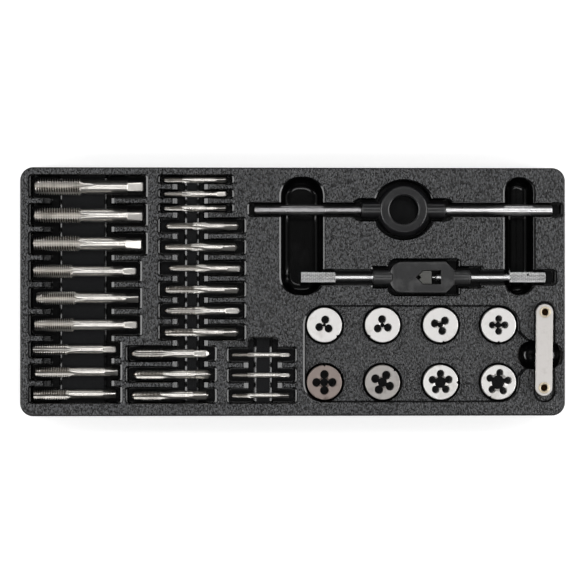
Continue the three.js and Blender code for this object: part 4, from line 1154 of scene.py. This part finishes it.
for bay in BAYS.values():
    for row in bay["rows"]:
        size, form = TAPS[row["size"]], row["form"]
        tap_name = f"tap_{row['size']}_{form}"
        tap = built(
            tap_tree, "dressed_" + tap_name, Length=float(size["length"]), Thread_radius=size["thread"] / 2,
            Pitch=float(size["pitch"]), Threaded=float(size["threaded"]), Run_out=float(size["runout"]),
            Lead=size["point"] + min(LEAD_PITCHES[form] * size["pitch"], size["threaded"] / 2),
            Tip_radius=size["thread"] / 2 * TAP_TIP_SHARE, Core_radius=size["thread"] / 2 * TAP_CORE_SHARE,
            Flutes=size["flutes"], Columns=56 if size["flutes"] == 4 else 48, Shank_radius=size["shank"] / 2,
            Square=float(size["square"]), Square_from=size["length"] - size["square_length"] - size["point"],
            Point=float(size["point"]), Rings=RINGS[form], Material=tap_steel)
        placed(tap, tap_place(bay, row), size["rolls"][FORMS.index(form)], "X")
        dressed(tap, tap_name, tap_name, tap_steel, 34, weighted=False)

# %% [markdown]
# The tools are turned and milled work. A turned piece is a profile spun about its axis, with every corner
# of the profile rounded a little, because it is these small rounds that catch the light on real metal.


# %% Turned work
def turned(name, profile, steps=72, closed=False):
    """Spins pairs of distance along X and radius about the X axis, in millimetres."""
    turns = np.arange(steps) * 2 * math.pi / steps
    points, rings, faces = [], [], []
    for along, radius in profile:
        first = len(points)
        if radius < 1e-6:
            points.append((along, 0, 0))
            rings.append([first])
        else:
            points += [(along, radius * math.cos(turn), radius * math.sin(turn)) for turn in turns]
            rings.append(list(range(first, first + steps)))
    for near, far in zip(rings, rings[1:] + rings[:1] if closed else rings[1:]):
        for i in range(steps):
            j = (i + 1) % steps
            corners = [near[i % len(near)], near[j % len(near)], far[j % len(far)], far[i % len(far)]]
            face = list(dict.fromkeys(corners))
            if len(face) > 2:
                faces.append(tuple(face))
    return new_object(name, points, faces)


def turned_tool(name, profile, radius=0.4, steps=72):
    return turned(name, eased(profile, radius), steps)


def post(name, x, y, radius, z0, z1, steps=48, flare=0.0):
    """An upright cutter; flare opens it at the two heights that it passes."""
    levels = [(z1 + OVERRUN, flare), (z1, flare), (z1 - flare, 0), (z0 + flare, 0), (z0, flare),
              (z0 - OVERRUN, flare)]
    if flare == 0:
        levels = [levels[0], levels[-1]]
    return loft(name, [at_height(circle(x, y, radius + opening, steps), z) for z, opening in levels])


def slab(name, outline, z0, z1, edge=0.3, steps=3):
    """A flat piece with rounded top and bottom edges."""
    turns = np.linspace(0, math.pi / 2, steps + 1)
    top = [(edge * (1 - math.sin(t)), z1 - edge * (1 - math.cos(t))) for t in turns]
    bottom = [(inset, z0 + z1 - z) for inset, z in reversed(top)]
    return loft(name, [at_height(grown(outline, -inset), z) for inset, z in top + bottom])


# %% [markdown]
# A round die is a steel disc with a threaded hole, round chip holes that break into it and leave the
# cutting teeth between them, and a notch in its rim for the screw that holds it. The disc is turned, and
# the rest is cut out of it. The number and the places of the chip holes differ from size to size.

# %% Die steel
die_steel = make_steel("die steel", (0.95, 0.935, 0.915), (0.5, 0.46, 0.42), 0.48, lines=60.0, wear=0.45)
# The M7 and M8 dies get darker copies of the die steel, brown and grey: painted shade for dies that catch less
# light.
shaded_die_steel = make_steel("shaded copy of die steel", (0.36, 0.3, 0.275), (0.14, 0.11, 0.1), 0.5, wear=0.9)
greyer_shaded_die_steel = make_steel("greyer shaded copy of die steel", (0.5, 0.475, 0.455), (0.24, 0.22, 0.21), 0.5, wear=0.7)

# %% Round dies
DIE_THICKNESS = 9.0
DIE_EDGE = 0.75
DIE_NOTCH = 1.3
DIE_LEAD = 0.6
CHIP_ROOM = 0.15
DIE_FIELDS = ("thread", "pitch", "holes", "circle", "hole", "turn", "notch")
DIE_TABLE = {
    "m7": (7, 1, 4, 5.7, 5.9, 0, 90),
    "m8": (8, 1.25, 4, 5.8, 5.9, 63, 45),
    "m10": (10, 1.5, 5, 6.2, 5.3, 91, 0),
    "m12": (12, 1.75, 5, 6.9, 5.1, 83, -120),
    "m3": (3, 0.5, 3, 3.9, 5.5, 81, -40),
    "m4": (4, 0.7, 3, 4.2, 5.5, 95, -140),
    "m5": (5, 0.8, 3, 4.4, 5.5, 165, -80),
    "m6": (6, 1, 4, 4.5, 4.8, 0, -90),
}
DIES = {size: dict(zip(DIE_FIELDS, facts)) for size, facts in DIE_TABLE.items()}


def die_bore(facts):
    """The threaded hole as a cutter: grooves at the thread's pitch, and a lead at both faces."""
    outer, inner = facts["thread"] / 2, facts["thread"] / 2 - 0.54 * facts["pitch"]
    profile = [(-OVERRUN, 0), (-OVERRUN, outer + DIE_LEAD), (0, outer + DIE_LEAD)]
    along = DIE_LEAD
    while along < DIE_THICKNESS - DIE_LEAD:
        profile += [(along, inner), (along + facts["pitch"] * 0.5, outer)]
        along += facts["pitch"]
    profile += [(DIE_THICKNESS, outer + DIE_LEAD), (DIE_THICKNESS + OVERRUN, outer + DIE_LEAD),
                (DIE_THICKNESS + OVERRUN, 0)]
    return placed(turned("bore", profile, 48), (0, 0, 0), -90, "Y")


def make_die(size, facts, material):
    disc = turned("dressed_die_" + size, eased([(0, 0), (0, DIE_RADIUS), (DIE_THICKNESS, DIE_RADIUS),
                                                (DIE_THICKNESS, 0)], DIE_EDGE, 4), 120)
    placed(disc, (0, 0, 0), -90, "Y")
    cutters = [die_bore(facts)]
    for i in range(facts["holes"]):
        turn = math.radians(facts["turn"] + i * 360 / facts["holes"])
        cutters.append(post("chip", facts["circle"] * math.cos(turn), facts["circle"] * math.sin(turn),
                            facts["hole"] / 2 + CHIP_ROOM, 0, DIE_THICKNESS, 40, 0.18))
    notch = math.radians(facts["notch"])
    cutters.append(loft("notch", [at_height(circle(0, 0, DIE_NOTCH, 4), z)
                                  for z in (DIE_THICKNESS + OVERRUN, -OVERRUN)]))
    placed(cutters[-1], (DIE_RADIUS * math.cos(notch), DIE_RADIUS * math.sin(notch), 0), facts["notch"])
    cut(disc, cutters)
    placed(disc, (*die_place(size), DIE_BOTTOM))
    dressed(disc, "die_" + size, "die_" + size, material)


for size, facts in DIES.items():
    # The M7 and M8 dies wear the painted-shade copies of the die steel.
    make_die(size, facts, {"m7": shaded_die_steel, "m8": greyer_shaded_die_steel}.get(size, die_steel))

# %% [markdown]
# The die stock's ring is blacked steel with two sockets for its handles, and the wrench's body is painted
# black. Both are satin, a little rubbed, and so lighter and barer along their raised edges. The group
# finds an edge by comparing the true normal with the normal of a slightly rounded one.


# %% Black finish and chrome
def build_edge_wear(tree, given):
    bevel = add_node(tree, "ShaderNodeBevel", {"samples": 4}, Radius=given["Width"])
    place = add_node(tree, "ShaderNodeNewGeometry")
    turn = add_node(tree, "ShaderNodeVectorMath", {"operation": "DOT_PRODUCT"})
    tree.links.new(bevel.outputs["Normal"], turn.inputs[0])
    tree.links.new(place.outputs["True Normal"], turn.inputs[1])
    bend = 1 - Value(tree, turn.outputs["Value"])
    patch = noise(tree, object_point(tree), 900.0, 3.0, 0.7)
    return {"Amount": ((bend * 9.0).clamped() * (patch * 3.0 - 0.9).clamped()) * given["Strength"]}


edge_wear = finish_group("rubbed edges", build_edge_wear, Width=0.0004, Strength=0.6)
RUBBED_STEEL = (0.3, 0.29, 0.28)


def make_black(name, low, high):
    material, tree, shader = new_material(name, Specular_IOR_Level=0.6)
    grain = placed_group(tree, pebble, Cells_per_metre=2600.0, Mask=0.5)
    marks = placed_group(tree, smudges, Patches_per_metre=90.0, Threshold=0.5)
    rub = placed_group(tree, edge_wear, Width=0.35 * MM, Strength=0.5)
    # The fine pebble paints shade in the grain's hollows and sheen on its cells; the marks are handling marks.
    base = mixed(tree, marks["Amount"] * 0.5 + grain["Tone"] * 0.6, low, high)
    put(tree, mixed(tree, rub["Amount"], base, RUBBED_STEEL), shader["Base Color"])
    put(tree, marks["Amount"] * 0.12 + 0.28 + grain["Tone"] * 0.1, shader["Roughness"])
    put(tree, rub["Amount"] * 0.8, shader["Metallic"])
    put(tree, bumped(tree, grain["Height"], 0.25, 0.05 * MM), shader["Normal"])
    return material


black_finish = make_black("black oxide", (0.007, 0.007, 0.008), (0.022, 0.022, 0.023))
black_paint = make_black("black paint", (0.026, 0.026, 0.027), (0.07, 0.07, 0.07))
# A darker copy of the chrome, as painted shade on the left stock handle.
shaded_chrome = make_steel("shaded copy of chrome", (0.42, 0.415, 0.42), (0.26, 0.255, 0.25), 0.3, lines=40.0, wear=0.3)
chrome = make_steel("chrome", (0.9, 0.895, 0.9), (0.6, 0.59, 0.57), 0.3, lines=40.0, wear=0.2)
grey_steel = make_steel("grey steel", (0.36, 0.36, 0.35), (0.16, 0.155, 0.15), 0.42, lines=80.0, wear=0.6)
dark_steel = make_steel("dark steel", (0.15, 0.15, 0.142), (0.07, 0.07, 0.066), 0.42, lines=160.0, wear=0.5)

# %% [markdown]
# The ring is turned as a closed profile: its bore, the wider seat for a die below, the skirt and the
# slanting shoulder. Sockets for the handles join it on both sides, and three screws reach in from behind.

# %% Die stock
RING_PROFILE = [(6.4, 10.5), (2.3, 10.5), (2.3, 12.85), (-7, 12.85), (-7, 18.9), (-6.2, 19), (2, 19),
                (6.4, 16.8), (7, 15.9), (7, 11.5)]
RING_BORE, SOCKET_REACH = 11.7, 30.4
GRUB_TURNS = (90, 40, 140)
GRUB_DROP = 1.5


def make_ring():
    ring = turned("dressed_stock_ring", softened(RING_PROFILE, 0.35, 3), 128, closed=True)
    placed(ring, (0, 0, 0), -90, "Y")
    sockets = []
    for turn in (0, 180):
        socket = turned_tool("socket", [(13.5, 0), (13.5, 6), (29.4, 6), (SOCKET_REACH, 5.2),
                                        (SOCKET_REACH, 0)], 0.5)
        sockets.append(cut(placed(socket, (0, 0, 0), turn), [post("core", 0, 0, RING_BORE, -9, 9, 64)]))
    cut(ring, sockets, "UNION")
    holes = [placed(turned("hole", [(20.4, 0), (20.4, 3), (32, 3), (32, 0)], 48), (0, 0, 0), turn)
             for turn in (0, 180)]
    for turn in GRUB_TURNS:
        hole = turned("hole", [(12, 0), (12, 2.1), (20, 2.1), (20, 0)], 32)
        holes.append(placed(hole, (0, 0, -GRUB_DROP), turn))
    cut(ring, holes)
    placed(ring, STOCK)
    dressed(ring, "die_stock", "stock_ring", black_finish)


make_ring()


def make_grub(number, turn):
    name = f"stock_grub_screw_{number}"
    screw = turned_tool("dressed_" + name,
                        [(14.2, 0), (16, 1.8), (18.7, 1.8), (18.7, 0.9), (17.1, 0.9), (17.1, 0)], 0.15, 36)
    placed(screw, (0, 0, -GRUB_DROP), turn)
    placed(screw, STOCK)
    dressed(screw, name, name, grey_steel)


for number, turn in enumerate(GRUB_TURNS, 1):
    make_grub(number, turn)


def make_stock_handle(side, reach, grip, taper, radii, turn, material):
    name = "stock_handle_" + side
    rod, thick = radii
    profile = [(20.7, 0), (20.7, 2.7), (30.7, 2.7), (30.7, rod), (reach - grip - taper, rod),
               (reach - grip, thick), (reach - 0.8, thick), (reach, thick - 0.8), (reach, 0)]
    handle = placed(turned_tool("dressed_" + name, profile, 0.35), (0, 0, 0), turn)
    placed(handle, STOCK)
    dressed(handle, "die_stock", name, material)


# The left handle wears the darker copy of the chrome: painted shade.
make_stock_handle("left", 107.8, 51, 0.8, (3.3, 3.7), 180, shaded_chrome)
make_stock_handle("right", 107.9, 36, 12.9, (3.1, 4), 0, chrome)

# %% [markdown]
# The wrench's grips are knurled: two sets of fine grooves that cross at an angle and leave pyramids. It is
# a pattern that follows a surface, so a small Geometry Nodes tree rolls a grid into a grip and lowers each
# point by its place between the grooves.

# %% Knurled grip
KNURL_INPUTS = [("From", FLOAT, 0.0), ("To", FLOAT, 25.0), ("Radius", FLOAT, 3.8), ("Depth", FLOAT, 0.55),
                ("Starts", FLOAT, 20.0), ("Pitch", FLOAT, 1.5), ("Edge", FLOAT, 0.15), ("Rows", INT, 130),
                ("Columns", INT, 130), ("Material", "NodeSocketMaterial", None)]


def make_knurl_tree():
    tree, given = new_tree("knurled grip", "GeometryNodeTree", KNURL_INPUTS)
    mesh, row, column, share = rolled_grid(tree, given["Rows"], given["Columns"])
    last = given["Rows"] - 1
    part = ((row - 1) / (last - 2)).clamped()
    along = given["From"] + (given["To"] - given["From"]) * part
    lead = (along - given["From"]) / given["Pitch"]
    around = share * given["Starts"]

    def pyramid(value):
        return (value - value.math("FLOOR") - 0.5).math("ABSOLUTE") * 2.0

    height = (pyramid(around + lead * 0.5).smaller(pyramid(around - lead * 0.5)) * 1.7).clamped()
    from_end = (along - given["From"]).smaller(given["To"] - along)
    eased_in = (from_end / given["Edge"]).clamped()
    body = given["Radius"] - given["Depth"] * (1 - height) * eased_in
    body = body - (1 - eased_in) * 0.2
    inside = row.above(0.5) * row.below(last - 0.5)
    angle = share * (2 * math.pi)
    reach = body * inside
    groove = (1 - height) * inside
    # The grooves are marked as thread and roots, so that the steel material paints shade in them.
    marks = {"thread_zone": groove, "flute_zone": 0.0, "root_zone": groove}
    close_up(tree, mesh, along, reach * angle.math("COSINE"), reach * angle.math("SINE"), marks,
             given["Material"])
    return tree


knurl_tree = make_knurl_tree()
# Its dark colour is the painted shade in the knurl's grooves.
knurled_chrome = make_steel("knurled chrome", (0.97, 0.97, 0.97), (0.1, 0.095, 0.09), 0.34, threads=True,
                            lines=40.0, wear=0.1)

# %% [markdown]
# The tap wrench holds a tap's square between the V in its body and the jaw, and the right handle is the
# screw that pushes the jaw. The body is one outline with rounded edges, joined with a collar at each end,
# and then its window and its two bores are cut.


# %% Tap wrench
def wrench_outline():
    left, right, half, nose = -14.6, 16.3, 11.4, 4.8
    turns = np.linspace(1.45, 0.2, 12)
    shoulder = [(left - 9.2 * math.sin(t), half * math.cos(t) ** 0.8) for t in turns]
    lower = [(x, -y) for x, y in shoulder] + [(right, -half), (right + 6.2, -nose)]
    return np.array(lower + [(x, -y) for x, y in reversed(lower)])


def window_outline(room):
    half = 5 + room
    return np.array([(-5.5 - room, 0), (-0.5, -half), (12.9 + room, -half), (12.9 + room, half), (-0.5, half)])


def make_frame():
    body = slab("dressed_wrench_frame", wrench_outline(), -6, 6, 1.2, 5)
    nose = [(-16.4 - run, 6.05 - 0.045 * run * run) for run in np.linspace(0, 8, 11)]
    tail = [(24.5, 5), (16.4, 6.2)]
    upper = nose[::-1] + tail[::-1]
    side = [(x, -z) for x, z in upper] + upper[::-1]
    cut(body, [loft("side", [np.array([(x, y, z) for x, z in side]) for y in (-13, 13)])], "INTERSECT")
    right = turned_tool("collar", [(14.9, 0), (14.9, 5.4), (33.5, 5.4), (34.5, 4.4), (34.5, 0)], 0.4)
    left = turned_tool("collar", [(22.6, 0), (22.6, 5.4), (35.1, 5.4), (36.1, 4.4), (36.1, 0)], 0.4)
    cut(body, [right, placed(left, (0, 0, 0), 180)], "UNION")
    window = loft("window", [at_height(window_outline(room), z) for z, room in
                             ((7, 0.3), (6, 0.3), (5.7, 0), (-5.7, 0), (-6, 0.3), (-7, 0.3))])
    screw = turned("bore", [(11.9, 0), (11.9, 2.3), (36, 2.3), (36, 0)], 40)
    seat = placed(turned("bore", [(26.1, 0), (26.1, 3), (38, 3), (38, 0)], 40), (0, 0, 0), 180)
    cut(body, [window, screw, seat])
    placed(body, WRENCH)
    dressed(body, "tap_wrench", "wrench_frame", black_paint)


def make_jaw():
    outline = np.array([(-1.5, 0), (-3.2, -1.7), (-0.25, -4.65), (5.9, -4.65), (5.9, 4.65), (-0.25, 4.65),
                        (-3.2, 1.7)])
    jaw = slab("dressed_wrench_jaw", outline, -4.75, 4.75, 0.25)
    lines = [loft("line", [at_height(rounded(-6, y - 0.17, 9, y + 0.17, 0.02, 1), z) for z in (5.5, 4.5)])
             for y in (-3.6, 3.6)]
    cut(jaw, lines)
    placed(jaw, WRENCH)
    dressed(jaw, "wrench_jaw", "wrench_moving_jaw", dark_steel)


HOLE_TURN = -38
ROD_RADIUS, ROD_OVERLAP = 2.4, 2


def make_wrench_handle(name, body, tip, seat, reach, grip, turn, cross_hole):
    """A rod with a knurled grip. The tip is the profile of its inner end, up to the seat."""
    seat_radius, seat_end = seat
    rod_end = reach - grip + ROD_OVERLAP
    rod = turned_tool("rod", [*tip, (seat_end, seat_radius), (seat_end, ROD_RADIUS),
                              (rod_end, ROD_RADIUS), (rod_end, 0)], 0.25)
    handle = built(knurl_tree, "dressed_" + name, From=reach - grip, To=float(reach), Radius=3.8,
                   Material=knurled_chrome)
    cut(handle, [rod], "UNION")
    if cross_hole:
        hole = post("hole", reach - 12.9, 0, 1.1, -5, 5, 32)
        cut(handle, [placed(hole, (0, 0, 0), HOLE_TURN, "X")])
    placed(handle, (0, 0, 0), turn)
    placed(handle, WRENCH)
    dressed(handle, body, name, knurled_chrome, 40, weighted=False)


make_frame()
make_jaw()
SCREW_TIP = [(6.8, 0), (6.8, 0.8), (8.9, 0.8), (9.3, 1.4), (10, 1.85), (11, 2)]
make_wrench_handle("wrench_fixed_handle", "tap_wrench", [(26.4, 0), (26.4, 2.7)], (2.7, 36.4), 88, 24.6, 180,
                   False)
make_wrench_handle("wrench_adjusting_handle", "wrench_screw_handle", SCREW_TIP, (2.0, 34.8), 88.6, 26, 0, True)

# %% [markdown]
# The pitch gauge is a sheath of two plated sheets, held by two brass eyelets, with a fan of thin leaves on
# each. Every leaf has the teeth of one thread pitch along its edge, which are drawn into its outline.

# %% Plated sheet and brass
plate_steel = make_steel("plated sheet", (0.8, 0.77, 0.745), (0.55, 0.52, 0.48), 0.5, lines=50.0, wear=0.4)
brass = make_steel("brass", (0.78, 0.68, 0.52), (0.34, 0.24, 0.13), 0.42, wear=0.6)
aged_brass = make_steel("aged brass", (0.06, 0.028, 0.01), (0.02, 0.01, 0.004), 0.6, wear=0.6)

# %% Screw pitch gauge
RIVET_Y = 27.2
EYELET_INSIDE = 2.25
SHEATH = (5.85, 32.9)
LEAF_ROOT = 4.7
LEAF_LENGTH = 45.9
LEAF_FLOOR, LEAF_STEP, LEAF_THICKNESS = 1.85, 0.65, 0.5
LEAF_PITCHES = (0.5, 0.7, 0.8, 1.0, 1.25)
TEETH_ALONG = 24.0


def make_plate(name, floor):
    half_x, half_y = SHEATH
    plate = slab("dressed_" + name, rounded(-half_x, -half_y, half_x, half_y, half_x, 16), floor, floor + 1,
                 0.22)
    cut(plate, [post("hole", 0, y, 2.75, floor, floor + 1, 48) for y in (-RIVET_Y, RIVET_Y)])
    placed(plate, GAUGE, GAUGE_TURN)
    dressed(plate, "pitch_gauge", name, plate_steel)


def make_eyelet(name, side):
    profile = [(0.4, 0), (0, 0.4), (0, 3.6), (0.6, 3.6), (0.6, 2.6), (6.2, 2.6), (6.2, 4.1), (6.7, 4.1),
               (6.9, 3.4), (6.9, 2.9), (6.3, 2.3), (1, 2.1), (1, 0)]
    eyelet = turned("dressed_" + name, eased(profile, 0.25, 3), 64)
    placed(eyelet, (0, 0, 0), -90, "Y")
    placed(eyelet, (0, RIVET_Y * side, 0))
    placed(eyelet, GAUGE, GAUGE_TURN)
    dressed(eyelet, "pitch_gauge", name, brass)
    eyelet.data.materials.append(aged_brass)
    centre = Vector((0, RIVET_Y * side, 0))
    centre.rotate(Matrix.Rotation(math.radians(GAUGE_TURN), 3, "Z"))
    centre = (centre + GAUGE) * MM
    for face in eyelet.data.polygons:
        if (face.center.xy - centre.xy).length < EYELET_INSIDE * MM and face.center.z > centre.z:
            face.material_index = 1


def leaf_outline(pitch):
    """A leaf from its rivet forwards, with teeth along the outer edge near its tip."""
    outer, inner = -5.35, -0.3
    arc = [(LEAF_ROOT * math.cos(t), LEAF_ROOT * math.sin(t)) for t in np.linspace(-0.12, 0.88, 16) * math.pi]
    low = 2.4 - LEAF_LENGTH
    teeth, count = [], int(TEETH_ALONG / pitch)
    for i in range(count):
        y = low + TEETH_ALONG + 1.0 - i * pitch
        teeth += [(outer, y), (outer + pitch * 0.54, y - pitch / 2)]
    end = [(outer, low), (outer + 1.2, -LEAF_LENGTH), (inner - 1.2, -LEAF_LENGTH), (inner, low), (inner, -9)]
    return np.array(arc + [(outer, -9)] + teeth + end)


def make_leaf(end, side, level):
    name = f"gauge_leaf_{end}_{level + 1}"
    floor = LEAF_FLOOR + level * LEAF_STEP
    ceiling = floor + LEAF_THICKNESS
    outline = leaf_outline(LEAF_PITCHES[level])
    leaf = loft("dressed_" + name, [at_height(outline, ceiling), at_height(outline, floor)])
    cut(leaf, [post("hole", 0, 0, 2.9, floor, ceiling, 40)])
    placed(leaf, (0, RIVET_Y * side, 0), 0 if side > 0 else 180)
    placed(leaf, GAUGE, GAUGE_TURN)
    dressed(leaf, name, name, plate_steel)


make_plate("gauge_plate_bottom", 0.7)
make_plate("gauge_plate_top", 5.1)
for end, side in (("back", 1), ("front", -1)):
    make_eyelet("gauge_rivet_" + end, side)
    for level in range(5):
        make_leaf(end, side, level)
